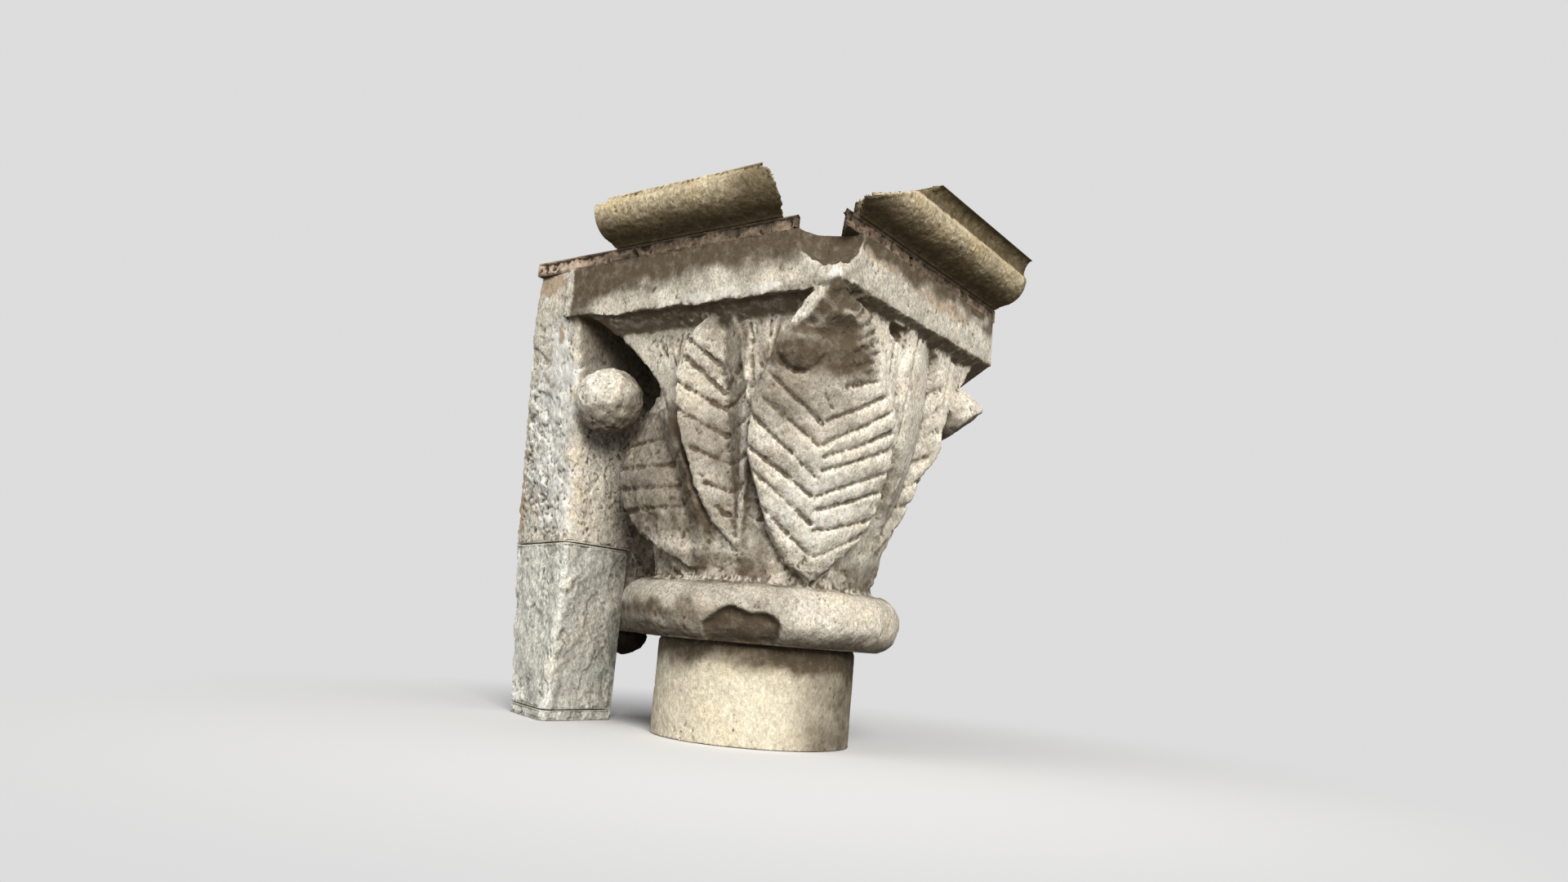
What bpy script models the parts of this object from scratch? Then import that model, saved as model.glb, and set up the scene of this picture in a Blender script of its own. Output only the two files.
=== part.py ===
"""A carved nook-shaft capital with the stones that meet it.

Metres, +Z up. The origin is the centre of the shaft stub's flat underside. The left face of
the capital looks along -Y, the right face along +X, and the corner between them is the front.
Heights named here are measured up from the capital's bed, where it sits on the shaft.
"""

import math
from dataclasses import dataclass

import bmesh
import bpy
import numpy as np
from mathutils import Vector

# The seam left between two stones that touch, and the open bed joints of the jamb
SEAM = 0.0003
JOINT = 0.001

# Shaft
SHAFT_RADIUS = 0.085
SHAFT_STUB = 0.08
SHAFT_ARRIS = 0.0025
SHAFT_SIDES = 56

# Capital: overall height, and the slab on top of it
CAPITAL_HEIGHT = 0.3205
ABACUS_HEIGHT = 0.046
ABACUS_FRONT = 0.125
ABACUS_SIDE = 0.14
ABACUS_END = 0.144
CHAMFER_DOWN = 0.019
CHAMFER_IN_FRONT = 0.0195
CHAMFER_IN_SIDE = 0.029
SLAB_WEAR = 0.0002
END_CORNER_ROUND = 0.005

# Neck moulding round the foot of the bell
ASTRAGAL_HEIGHT = 0.0485
ASTRAGAL_RADIUS = 0.1218
ASTRAGAL_CORE = 0.097
SPALL_ANGLE = -60.0
SPALL_HALF_ANGLE = 16.0
SPALL_TOP = 0.027
SPALL_DEPTH = 0.009

# Bell: round at the neck, squared under the slab
NECK_RADIUS = 0.0956
BELL_RADIUS = 0.1055
BELL_SWELL_FROM = 0.05
BELL_SWELL_TO = 0.13
SQUARED_FROM = 0.115
SQUARED_TO = 0.185
WEB_FRONT = 0.106
WEB_SIDE = 0.1295

# Corner horns: the arris runs down and in from each corner of the slab, as a hollow curve
LEFT_ARRIS_TOP = (-0.128, 0.2735)
LEFT_ARRIS_FOOT = (-0.033, 0.175)
LEFT_ARRIS_CURVE = 1.6
RIGHT_ARRIS_TOP = (0.138, 0.279)
RIGHT_ARRIS_FOOT = (0.0743, 0.194)
RIGHT_ARRIS_CURVE = 1.3
HORN_EDGE = 0.004
RECESS_RADIUS = 0.106

# Balls under the slab's corners: the right one is worn to two flats, the front one to a stub
LEFT_BALL = (-0.111, -0.101, 0.2)
LEFT_BALL_RADIUS = 0.03
RIGHT_BALL = (0.119, 0.115, 0.2225)
RIGHT_BALL_RADIUS = 0.0275
RIGHT_BALL_UPPER_FLAT = 0.0202
RIGHT_BALL_UPPER_TILT = 54.0
RIGHT_BALL_LOWER_FLAT = 0.0134
RIGHT_BALL_LOWER_TILT = -51.0
RIGHT_BALL_HEADING = 36.0
FRONT_STUB_ANGLE = -48.5
FRONT_STUB_HEIGHT = 0.227
FRONT_STUB_RADIUS = 0.018
FRONT_STUB_PROUD = 0.007
BALL_SIDES = 22
BALL_RINGS = 13

# Leaf carving
GROOVE_DEPTH = 0.0032
GROOVE_HALF_WIDTH = 0.0034
LEAF_EDGE = 0.003

# Stone of the jamb, left of the nook; its front face falls back to the left
NOOK_FACE = 0.14
JAMB_JOINT_HEIGHT = 0.0745
JAMB_ARRIS_TOP = 0.1245
JAMB_ARRIS_FOOT = 0.105
JAMB_ARRIS_LOW = 0.11
JAMB_ROUND_TOP = 0.003
JAMB_ROUND_FOOT = 0.02
JAMB_ROUND_STEPS = 5
JAMB_STATIONS = 6
JAMB_CUT_TOP = 0.205
JAMB_CUT_JOINT = 0.264
JAMB_CUT_FOOT = 0.214
JAMB_FALL_TOP = 0.15
JAMB_FALL_FOOT = 0.4
JAMB_LOWER_BACK = -0.026
FOOT_STONE = 0.0095

# Tail that the capital has in the wall
TAIL_BACK = 0.144
TAIL_RIGHT = 0.0

# Mortar bed on the slab
MORTAR_HEIGHT = 0.0135
MORTAR_RECESS = 0.004
BED_END = 0.157

# Moulding above: a roll with a hollow over it, which is broken back on the left and flares out on the right
IMPOST_HEIGHT = 0.042
FLARE_HEIGHT = 0.0455
FLARE_OUT = 0.01
IMPOST_DEPTH = 0.115
ROLL_OUT = 0.027
ROLL_RISE = 0.028
QUIRK = 0.003
HOLLOW_IN = 0.012
IMPOST_LEFT_END = -0.105
ROLL_STEPS = 7

# Break at the front corner of the moulding and its bed
BREAK_HEADING = 36.0
LEFT_BREAK = (0.094, -0.14)
RIGHT_BREAK = (0.15, -0.118)
BREAK_LEAN = 0.5
BREAK_SLOPE = 0.46
BREAK_SLOPE_FROM = (-0.118, 0.006)
BED_BREAK_DEPTH = 0.09

# Hollow broken out of the slab's front corner
CHIP_CENTRE = (0.128, -0.122, 0.318)
CHIP_RADII = (0.034, 0.026, 0.03)

# Lump of packing left behind the lower jamb stone
PACKING_CENTRE = (-0.152, -0.004, -0.003)
PACKING_RADII = (0.022, 0.0215, 0.0195)

# Mesh fineness of the carved bell
ANGLE_STEPS = 360
HEIGHT_STEPS = 150
CARVED_TRIANGLES = 7400


@dataclass(frozen=True)
class Leaf:
    """One leaf on the bell, given at a few heights from its tip to its top.

    Each margin and the midrib are angles in degrees round the shaft, and each of them has
    its own radius, so that a leaf can be a flat blade or a deep fold. The cuts are the
    heights where the grooves of a side leave the midrib, and their slope runs evenly from
    the first to the second value of the pair between the leaf's tip and its top.
    """

    heights: tuple
    left: tuple
    rib: tuple
    right: tuple
    left_radius: tuple
    rib_radius: tuple
    right_radius: tuple
    left_cuts: tuple = ()
    right_cuts: tuple = ()
    left_slope: tuple = (0.0, 0.0)
    right_slope: tuple = (0.0, 0.0)

    def at(self, values, height):
        return np.interp(height, self.heights, values)

    def slope(self, pair, height):
        return np.interp(height, (self.heights[0], self.heights[-1]), pair)


FRONT_LEAF = Leaf(
    heights=(0.0495, 0.066, 0.088, 0.106, 0.146, 0.19, 0.217, 0.237, 0.262, 0.276),
    left=(-32.5, -45, -53.4, -57, -63, -61.8, -57.5, -53.7, -48.8, -44),
    rib=(-32, -34, -36, -37, -38, -39, -40, -41, -41.5, -41.5),
    right=(-31, -21.5, -11.5, -7.8, -7.8, -9.8, -14.3, -20, -30, -41),
    left_radius=(0.1, 0.107, 0.1155, 0.1225, 0.136, 0.146, 0.152, 0.159, 0.173, 0.18),
    rib_radius=(0.101, 0.108, 0.116, 0.123, 0.137, 0.147, 0.155, 0.164, 0.179, 0.186),
    right_radius=(0.1, 0.107, 0.1155, 0.1215, 0.1355, 0.144, 0.152, 0.159, 0.172, 0.18),
    left_cuts=(0.1687, 0.1551, 0.1296, 0.1164, 0.0957, 0.0705),
    right_cuts=(0.1997, 0.1744, 0.1547, 0.1472, 0.1361, 0.1169, 0.1056, 0.0911, 0.0707),
    left_slope=(0.76, 0.76),
    right_slope=(0.33, 0.62),
)

LEFT_MIDDLE_LEAF = Leaf(
    heights=(0.073, 0.0975, 0.123, 0.156, 0.188, 0.2155, 0.243, 0.254, 0.263),
    left=(-67, -81.5, -87.5, -93.5, -99.3, -99.8, -97.5, -94, -87),
    rib=(-66.5, -70, -71.5, -75, -77.7, -80.5, -81, -81, -81),
    right=(-65.5, -64, -64, -64.3, -64.5, -64, -69.5, -72, -76),
    left_radius=(0.103, 0.109, 0.1145, 0.1205, 0.1225, 0.1225, 0.12, 0.118, 0.116),
    rib_radius=(0.101, 0.101, 0.101, 0.101, 0.101, 0.102, 0.104, 0.105, 0.106),
    right_radius=(0.103, 0.109, 0.113, 0.118, 0.12, 0.12, 0.118, 0.117, 0.116),
    left_cuts=(0.219, 0.2006, 0.1855, 0.1631, 0.1397, 0.118, 0.0983),
    right_cuts=(0.219, 0.2006, 0.1855, 0.1631, 0.1397, 0.118),
    left_slope=(0.15, 1.0),
    right_slope=(0.2, 1.25),
)

LEFT_CORNER_LEAF = Leaf(
    heights=(0.054, 0.061, 0.0785, 0.0925, 0.1065, 0.121, 0.14, 0.16, 0.19, 0.205),
    left=(-89, -98, -120, -128.5, -132, -135, -137, -138.5, -140, -141),
    rib=(-88, -89, -91.5, -94, -97.5, -101.5, -107, -114.5, -125, -130),
    right=(-87, -84, -82, -83, -86, -89.5, -94, -100.5, -112, -119),
    left_radius=(0.1, 0.101, 0.112, 0.118, 0.1265, 0.131, 0.1335, 0.135, 0.132, 0.124),
    rib_radius=(0.1, 0.1, 0.1, 0.1, 0.1005, 0.101, 0.1025, 0.105, 0.11, 0.11),
    right_radius=(0.1, 0.104, 0.107, 0.109, 0.111, 0.112, 0.113, 0.113, 0.112, 0.11),
    left_cuts=(0.1665, 0.142, 0.1245, 0.1065),
    right_cuts=(0.142, 0.1225, 0.1065, 0.0905),
    left_slope=(-0.05, -0.05),
    right_slope=(0.8, 0.8),
)

RIGHT_MIDDLE_LEAF = Leaf(
    heights=(0.085, 0.11, 0.13, 0.152, 0.176, 0.205, 0.235, 0.26, 0.277),
    left=(12, 9, 7, 4.5, -0.5, 1, 4.5, 7.5, 10),
    rib=(14, 19, 22, 23.5, 24.5, 25, 25.5, 25, 16),
    right=(18, 26, 28, 28, 28, 28.2, 28.7, 24.5, 18.5),
    left_radius=(0.1, 0.108, 0.117, 0.124, 0.13, 0.13, 0.1315, 0.132, 0.133),
    rib_radius=(0.1, 0.107, 0.1145, 0.1205, 0.126, 0.131, 0.133, 0.1345, 0.133),
    right_radius=(0.103, 0.119, 0.1285, 0.1355, 0.142, 0.1475, 0.15, 0.145, 0.139),
    right_cuts=(0.219, 0.197, 0.182, 0.16, 0.139, 0.12),
    right_slope=(1.2, 1.2),
)

RIGHT_BLADE = Leaf(
    heights=(0.17, 0.187, 0.21, 0.232, 0.25, 0.276),
    left=(-1.6, -3.2, -5.2, -4.9, -1.5, -0.8),
    rib=(-1.4, -2.2, -2.5, -0.5, 1.5, 3.5),
    right=(-1.2, -1.4, 0.3, 3.2, 5.3, 8.5),
    left_radius=(0.13, 0.131, 0.132, 0.132, 0.132, 0.132),
    rib_radius=(0.13, 0.132, 0.133, 0.133, 0.133, 0.133),
    right_radius=(0.13, 0.131, 0.132, 0.132, 0.132, 0.133),
)

RIGHT_CORNER_LEAF = Leaf(
    heights=(0.056, 0.08, 0.1, 0.12, 0.145, 0.17, 0.19, 0.205),
    left=(24, 25, 27, 30, 33, 38, 44, 50),
    rib=(25, 32, 36, 40, 45, 50, 54, 57),
    right=(26, 44, 52, 58, 63, 66, 70, 74),
    left_radius=(0.098, 0.1015, 0.111, 0.121, 0.128, 0.134, 0.13, 0.116),
    rib_radius=(0.098, 0.1, 0.106, 0.111, 0.116, 0.12, 0.118, 0.112),
    right_radius=(0.098, 0.104, 0.111, 0.117, 0.122, 0.126, 0.12, 0.11),
    left_cuts=(0.1665, 0.142, 0.1245, 0.1065),
    right_cuts=(0.1665, 0.142, 0.1245, 0.1065),
    left_slope=(0.8, 0.8),
    right_slope=(-0.05, -0.05),
)

FOLDS = (LEFT_CORNER_LEAF, LEFT_MIDDLE_LEAF, RIGHT_CORNER_LEAF, RIGHT_BLADE, RIGHT_MIDDLE_LEAF)

# Colour, roughness of each stone
STONE = (0.47, 0.43, 0.36), 0.9
JAMB_STONE = (0.4, 0.39, 0.33), 0.92
SHAFT_STONE = (0.56, 0.49, 0.35), 0.85
MORTAR = (0.3, 0.21, 0.16), 0.95
IMPOST_STONE = (0.36, 0.3, 0.19), 0.9
PACKING = (0.16, 0.12, 0.1), 0.95


def clear_scene():
    for obj in list(bpy.data.objects):
        bpy.data.objects.remove(obj, do_unlink=True)


def material(name, look):
    colour, roughness = look
    made = bpy.data.materials.new(name)
    made.use_nodes = True
    shader = made.node_tree.nodes["Principled BSDF"]
    shader.inputs["Base Color"].default_value = (*colour, 1.0)
    shader.inputs["Roughness"].default_value = roughness
    shader.inputs["Metallic"].default_value = 0.0
    made.diffuse_color = (*colour, 1.0)
    return made


def add_object(name, mesh_maker, look):
    """A bmesh turned into a named object with its own material."""
    mesh = bpy.data.meshes.new(name)
    mesh_maker.to_mesh(mesh)
    mesh_maker.free()
    obj = bpy.data.objects.new(name, mesh)
    bpy.context.scene.collection.objects.link(obj)
    if look is not None:
        mesh.materials.append(material(name, look))
    return obj


def as_helper(obj):
    obj.hide_render = True
    obj.display_type = "WIRE"
    return obj


def smooth_step(value):
    value = np.clip(value, 0.0, 1.0)
    return value * value * (3.0 - 2.0 * value)


def loft(rings):
    """A closed solid through rings of points, lowest first, each anticlockwise from above."""
    made = bmesh.new()
    rows = [[made.verts.new(point) for point in ring] for ring in rings]
    count = len(rows[0])
    for lower, upper in zip(rows, rows[1:]):
        for i in range(count):
            j = (i + 1) % count
            made.faces.new((lower[i], lower[j], upper[j], upper[i]))
    made.faces.new(list(reversed(rows[0])))
    made.faces.new(rows[-1])
    bmesh.ops.recalc_face_normals(made, faces=made.faces)
    return made


def ring_at(points, z):
    return [(x, y, z) for x, y in points]


def ellipsoid(centre, radii, sides=BALL_SIDES, rings=BALL_RINGS):
    made = bmesh.new()
    bmesh.ops.create_uvsphere(made, u_segments=sides, v_segments=rings, radius=1.0)
    bmesh.ops.scale(made, vec=Vector(radii), verts=made.verts)
    bmesh.ops.translate(made, vec=Vector(centre), verts=made.verts)
    return made


def cut_flat(made, point, normal):
    """Cuts away what lies beyond a plane, on the side its normal points to, and closes the cut."""
    cut = bmesh.ops.bisect_plane(
        made,
        geom=made.verts[:] + made.edges[:] + made.faces[:],
        dist=1e-6,
        plane_co=Vector(point),
        plane_no=Vector(normal),
        clear_outer=True,
    )
    rim = [item for item in cut["geom_cut"] if isinstance(item, bmesh.types.BMEdge)]
    bmesh.ops.holes_fill(made, edges=rim, sides=0)
    bmesh.ops.recalc_face_normals(made, faces=made.faces)
    return made


def boolean(target, other, operation):
    modifier = target.modifiers.new(other.name, "BOOLEAN")
    modifier.operation = operation
    modifier.object = other
    modifier.solver = "EXACT"
    as_helper(other)
    return modifier


def astragal_radius(height):
    """Half-round moulding at the foot of the bell, as a radius at each height."""
    middle = ASTRAGAL_HEIGHT / 2
    lift = np.clip((height - middle) / middle, -1.0, 1.0)
    return ASTRAGAL_CORE + (ASTRAGAL_RADIUS - ASTRAGAL_CORE) * np.sqrt(1.0 - lift**2)


def bell_radius(angle, height):
    """The plain bell behind the leaves: round below, squared to the slab's faces above."""
    swell = smooth_step((height - BELL_SWELL_FROM) / (BELL_SWELL_TO - BELL_SWELL_FROM))
    round_part = NECK_RADIUS + (BELL_RADIUS - NECK_RADIUS) * swell
    to_front = WEB_FRONT / np.maximum(-np.sin(angle), 0.05)
    to_side = WEB_SIDE / np.maximum(np.cos(angle), 0.05)
    to_left = NOOK_FACE / np.maximum(-np.cos(angle), 0.05)
    squared = np.minimum(np.minimum(to_front, to_side), to_left)
    squared = np.minimum(squared, ABACUS_END / np.maximum(np.sin(angle), 0.05))
    share = smooth_step((height - SQUARED_FROM) / (SQUARED_TO - SQUARED_FROM))
    return round_part + (squared - round_part) * share


def arris_at(height, foot, top, curve):
    """How far along its face a horn's arris lies at each height."""
    rise = np.clip((height - foot[1]) / (top[1] - foot[1]), 0.0, 1.5)
    return foot[0] + (top[0] - foot[0]) * rise**curve


def beyond_horn(angle, height):
    """1 past a corner's arris, where the stone is hollowed behind the ball, and 0 on the web."""
    left_x = arris_at(height, LEFT_ARRIS_FOOT, LEFT_ARRIS_TOP, LEFT_ARRIS_CURVE)
    left_angle = np.arctan2(-WEB_FRONT, left_x)
    right_y = arris_at(height, RIGHT_ARRIS_FOOT, RIGHT_ARRIS_TOP, RIGHT_ARRIS_CURVE)
    right_angle = np.arctan2(right_y, WEB_SIDE)
    edge = HORN_EDGE / BELL_RADIUS
    past_left = smooth_step((left_angle - angle) / edge)
    past_right = smooth_step((angle - right_angle) / edge) * (angle < math.radians(100))
    return np.maximum(past_left, past_right)


def groove(height_on_rib, cuts):
    """Depth of the cuts that branch from the midrib, as V-shaped channels."""
    depth = np.zeros_like(height_on_rib)
    for cut in cuts:
        away = np.abs(height_on_rib - cut)
        depth = np.maximum(depth, GROOVE_DEPTH * np.clip(1.0 - away / GROOVE_HALF_WIDTH, 0.0, 1.0))
    return depth


def leaf_over(radius, angle, height, leaf):
    """The radius with one leaf laid over what is below it."""
    degrees = np.degrees(angle)
    left, rib, right = (leaf.at(v, height) for v in (leaf.left, leaf.rib, leaf.right))
    rib_radius = leaf.at(leaf.rib_radius, height)
    on_left = degrees < rib
    left_share = (rib - degrees) / np.maximum(rib - left, 0.1)
    right_share = (degrees - rib) / np.maximum(right - rib, 0.1)
    across = np.clip(np.where(on_left, left_share, right_share), 0.0, 1.0)
    margin = np.where(on_left, leaf.at(leaf.left_radius, height), leaf.at(leaf.right_radius, height))
    face = rib_radius + (margin - rib_radius) * across
    run = np.radians(np.abs(degrees - rib)) * rib_radius
    left_cuts = groove(height - leaf.slope(leaf.left_slope, height) * run, leaf.left_cuts)
    right_cuts = groove(height - leaf.slope(leaf.right_slope, height) * run, leaf.right_cuts)
    face = face - np.where(on_left, left_cuts, right_cuts)
    beyond = np.where(on_left, left - degrees, degrees - right)
    inside = 1.0 - smooth_step(np.radians(beyond) * rib_radius / LEAF_EDGE)
    within = (height > leaf.heights[0]) & (height < leaf.heights[-1])
    return np.where(within, radius + (face - radius) * inside, radius)


def carved_radius(angle, height):
    """Radius of the finished carving in every direction round the shaft."""
    hollow = beyond_horn(angle, height) * smooth_step((height - 0.15) / 0.03)
    radius = bell_radius(angle, height)
    radius = radius + (RECESS_RADIUS - radius) * hollow
    for leaf in (*FOLDS, FRONT_LEAF):
        radius = leaf_over(radius, angle, height, leaf)
    face_limit = np.minimum(
        ABACUS_FRONT / np.maximum(-np.sin(angle), 0.05), ABACUS_SIDE / np.maximum(np.cos(angle), 0.05)
    )
    radius = np.minimum(radius, face_limit)
    stub_angle = math.radians(FRONT_STUB_ANGLE)
    aside = (angle - stub_angle) * radius
    away = np.hypot(aside, height - FRONT_STUB_HEIGHT) / FRONT_STUB_RADIUS
    radius = radius + FRONT_STUB_PROUD * smooth_step((1.25 - away) / 0.4)
    moulding = astragal_radius(height)
    moulding = np.where(height < ASTRAGAL_HEIGHT, moulding, 0.0)
    spread = (np.degrees(angle) - SPALL_ANGLE) / SPALL_HALF_ANGLE
    broken = smooth_step((1.0 - spread**2) * 3.0) * smooth_step((SPALL_TOP - 0.012 * spread**2 - height) / 0.003)
    moulding = moulding - SPALL_DEPTH * broken
    return np.maximum(radius, moulding)


def carved_bell(name):
    """The bell, its leaves and its neck moulding, from its bed up into the slab."""
    top = CAPITAL_HEIGHT - ABACUS_HEIGHT / 2
    angles = np.linspace(-math.pi, math.pi, ANGLE_STEPS, endpoint=False)
    heights = np.linspace(0.0, top, HEIGHT_STEPS)
    angle, height = np.meshgrid(angles, heights)
    radius = carved_radius(angle, height)
    points = np.stack([radius * np.cos(angle), radius * np.sin(angle), height + SHAFT_STUB], -1)
    return add_object(name, loft([[tuple(point) for point in row] for row in points.tolist()]), None)


def slab(name):
    """The abacus, with vertical faces."""
    low = SHAFT_STUB + CAPITAL_HEIGHT - ABACUS_HEIGHT
    left = -NOOK_FACE - CHAMFER_IN_FRONT
    turned = (ABACUS_SIDE - END_CORNER_ROUND, ABACUS_END)
    plan = [(left, -ABACUS_FRONT), (ABACUS_SIDE, -ABACUS_FRONT)]
    plan += [(ABACUS_SIDE, ABACUS_END - END_CORNER_ROUND), turned, (left, ABACUS_END)]
    return add_object(name, loft([ring_at(plan, low), ring_at(plan, SHAFT_STUB + CAPITAL_HEIGHT)]), None)


def slab_chamfer(name):
    """The slope under the abacus, from the foot of its faces in to the bell, as far as the horns."""
    low = SHAFT_STUB + CAPITAL_HEIGHT - ABACUS_HEIGHT
    bottom = CAPITAL_HEIGHT - ABACUS_HEIGHT - CHAMFER_DOWN
    left_low = arris_at(bottom, LEFT_ARRIS_FOOT, LEFT_ARRIS_TOP, LEFT_ARRIS_CURVE)
    end = ABACUS_END - SLAB_WEAR
    front = ABACUS_FRONT - SLAB_WEAR
    side = ABACUS_SIDE - SLAB_WEAR
    left_high = LEFT_ARRIS_TOP[0]

    def plan(left, forward, right):
        return [(left, -forward), (right, -forward), (right, end), (left, end)]

    rings = [
        ring_at(plan(left_low, front - CHAMFER_IN_FRONT, side - CHAMFER_IN_SIDE), low - CHAMFER_DOWN),
        ring_at(plan(left_high, front, side), low),
        ring_at(plan(left_high, front, side), low + ABACUS_HEIGHT / 4),
    ]
    return add_object(name, loft(rings), None)


def jamb_plan(arris, rounding, cut, fall, back):
    """Plan of a jamb stone: a worn arris in the nook, and a front face falling back to the left."""
    plan = [(-NOOK_FACE, back), (-cut, back), (-cut, -arris + fall * (cut - NOOK_FACE))]
    for step in range(JAMB_ROUND_STEPS + 1):
        turn = math.pi / 2 * step / JAMB_ROUND_STEPS
        x = -NOOK_FACE - rounding * (1.0 - math.sin(turn))
        y = -arris + rounding * (1.0 - math.cos(turn)) + fall * rounding * (1.0 - math.sin(turn))
        plan.append((x, y))
    return plan


def jamb_return(name):
    """The part of the capital's stone that turns into the jamb, above its bed joint."""
    rings = []
    for step in range(JAMB_STATIONS + 1):
        share = step / JAMB_STATIONS
        height = JAMB_JOINT_HEIGHT + (CAPITAL_HEIGHT - JAMB_JOINT_HEIGHT) * share
        eased = share**1.5
        arris = JAMB_ARRIS_FOOT + (JAMB_ARRIS_TOP - JAMB_ARRIS_FOOT) * min(1.0, eased * 1.25)
        rounding = JAMB_ROUND_FOOT + (JAMB_ROUND_TOP - JAMB_ROUND_FOOT) * min(1.0, eased * 1.25)
        cut = JAMB_CUT_JOINT + (JAMB_CUT_TOP - JAMB_CUT_JOINT) * share
        fall = JAMB_FALL_FOOT + (JAMB_FALL_TOP - JAMB_FALL_FOOT) * share
        rings.append(ring_at(jamb_plan(arris, rounding, cut, fall, TAIL_BACK), SHAFT_STUB + height))
    return add_object(name, loft(rings), None)


def wall_tail(name):
    """The plain squared back of the capital's stone, bedded in the wall."""
    front = JAMB_LOWER_BACK + JOINT
    share = SHAFT_STUB / (SHAFT_STUB + JAMB_JOINT_HEIGHT)
    foot_cut = JAMB_CUT_FOOT + (JAMB_CUT_JOINT - JAMB_CUT_FOOT) * share - JOINT

    def plan(cut):
        return [(-cut, front), (TAIL_RIGHT, front), (TAIL_RIGHT, TAIL_BACK), (-cut, TAIL_BACK)]

    rings = [
        ring_at(plan(foot_cut), SHAFT_STUB),
        ring_at(plan(JAMB_CUT_JOINT - JOINT), SHAFT_STUB + JAMB_JOINT_HEIGHT),
        ring_at(plan(JAMB_CUT_TOP - JOINT), SHAFT_STUB + CAPITAL_HEIGHT - JOINT),
    ]
    return add_object(name, loft(rings), None)


def worn_ball(centre):
    """The right ball, worn away to two flats that meet in a blunt edge."""
    made = ellipsoid(centre, [RIGHT_BALL_RADIUS] * 3)
    heading = math.radians(RIGHT_BALL_HEADING)
    flats = (
        (RIGHT_BALL_UPPER_TILT, RIGHT_BALL_UPPER_FLAT),
        (RIGHT_BALL_LOWER_TILT, RIGHT_BALL_LOWER_FLAT),
    )
    for tilt, distance in flats:
        lean = math.radians(tilt)
        normal = Vector((math.cos(lean) * math.cos(heading), math.cos(lean) * math.sin(heading), math.sin(lean)))
        cut_flat(made, Vector(centre) + normal * distance, normal)
    return made


def capital_stone():
    """Bell, slab, jamb return, tail and balls: all one stone."""
    stone = carved_bell("capital_stone")
    stone.data.materials.append(material("capital_stone", STONE))
    count = sum(len(face.vertices) - 2 for face in stone.data.polygons)
    fewer = stone.modifiers.new("fewer", "DECIMATE")
    fewer.ratio = CARVED_TRIANGLES / count
    left = [LEFT_BALL[0], LEFT_BALL[1], LEFT_BALL[2] + SHAFT_STUB]
    right = [RIGHT_BALL[0], RIGHT_BALL[1], RIGHT_BALL[2] + SHAFT_STUB]
    joined = (
        slab("slab_form"),
        slab_chamfer("chamfer_form"),
        jamb_return("jamb_form"),
        wall_tail("tail_form"),
        add_object("left_ball_form", ellipsoid(left, [LEFT_BALL_RADIUS] * 3), None),
        add_object("right_ball_form", worn_ball(right), None),
    )
    for form in joined:
        boolean(stone, form, "UNION")
    chip = [CHIP_CENTRE[0], CHIP_CENTRE[1], CHIP_CENTRE[2] + SHAFT_STUB]
    boolean(stone, add_object("corner_chip", ellipsoid(chip, CHIP_RADII, 14, 9), None), "DIFFERENCE")
    return stone


def jamb_stones():
    """The jamb stone below the capital's bed joint, and the top of the one under it."""
    joint = SHAFT_STUB + JAMB_JOINT_HEIGHT - JOINT
    rounding = JAMB_ROUND_FOOT / 2

    def plan(share):
        cut = JAMB_CUT_FOOT + (JAMB_CUT_JOINT - JAMB_CUT_FOOT) * share
        arris = JAMB_ARRIS_LOW + (JAMB_ARRIS_FOOT - JAMB_ARRIS_LOW) * share
        return jamb_plan(arris, rounding, cut, JAMB_FALL_FOOT, JAMB_LOWER_BACK)

    low_share = FOOT_STONE / joint
    add_object("jamb_stone", loft([ring_at(plan(low_share), FOOT_STONE), ring_at(plan(1.0), joint)]), JAMB_STONE)
    foot_rings = [ring_at(plan(0.0), 0.0), ring_at(plan(low_share), FOOT_STONE - JOINT)]
    add_object("jamb_foot_stone", loft(foot_rings), JAMB_STONE)


def shaft_stub():
    """The top of the shaft, with its worn upper edge."""
    top = SHAFT_STUB - SEAM
    steps = [2 * math.pi * i / SHAFT_SIDES for i in range(SHAFT_SIDES)]

    def circle(radius, z):
        return [(radius * math.cos(a), radius * math.sin(a), z) for a in steps]

    rings = [circle(SHAFT_RADIUS, 0.0), circle(SHAFT_RADIUS, top - SHAFT_ARRIS), circle(SHAFT_RADIUS - SHAFT_ARRIS, top)]
    stub = add_object("shaft_stub", loft(rings), SHAFT_STONE)
    stub.data.shade_smooth()
    stub.data.set_sharp_from_angle(angle=math.radians(35))


def break_direction():
    """Unit vector in plan along which the front corner broke away, pointing inwards."""
    heading = math.radians(BREAK_HEADING)
    return -math.sin(heading), math.cos(heading)


def mortar_bed():
    """The bed of mortar on the slab and on the jamb beside it, notched at the broken corner."""
    low = SHAFT_STUB + CAPITAL_HEIGHT + SEAM
    high = SHAFT_STUB + CAPITAL_HEIGHT + MORTAR_HEIGHT
    side = ABACUS_SIDE - MORTAR_RECESS
    front = -ABACUS_FRONT + MORTAR_RECESS
    in_x, in_y = break_direction()
    left = (LEFT_BREAK[0], front)
    right = (side, RIGHT_BREAK[1])
    inner_left = (left[0] + in_x * BED_BREAK_DEPTH, left[1] + in_y * BED_BREAK_DEPTH)
    inner_right = (right[0] + in_x * BED_BREAK_DEPTH, right[1] + in_y * BED_BREAK_DEPTH)
    plan = [(-JAMB_CUT_TOP, front), left, inner_left, inner_right, right, (side, BED_END), (-JAMB_CUT_TOP, BED_END)]
    add_object("mortar_bed", loft([ring_at(plan, low), ring_at(plan, high)]), MORTAR)


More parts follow.
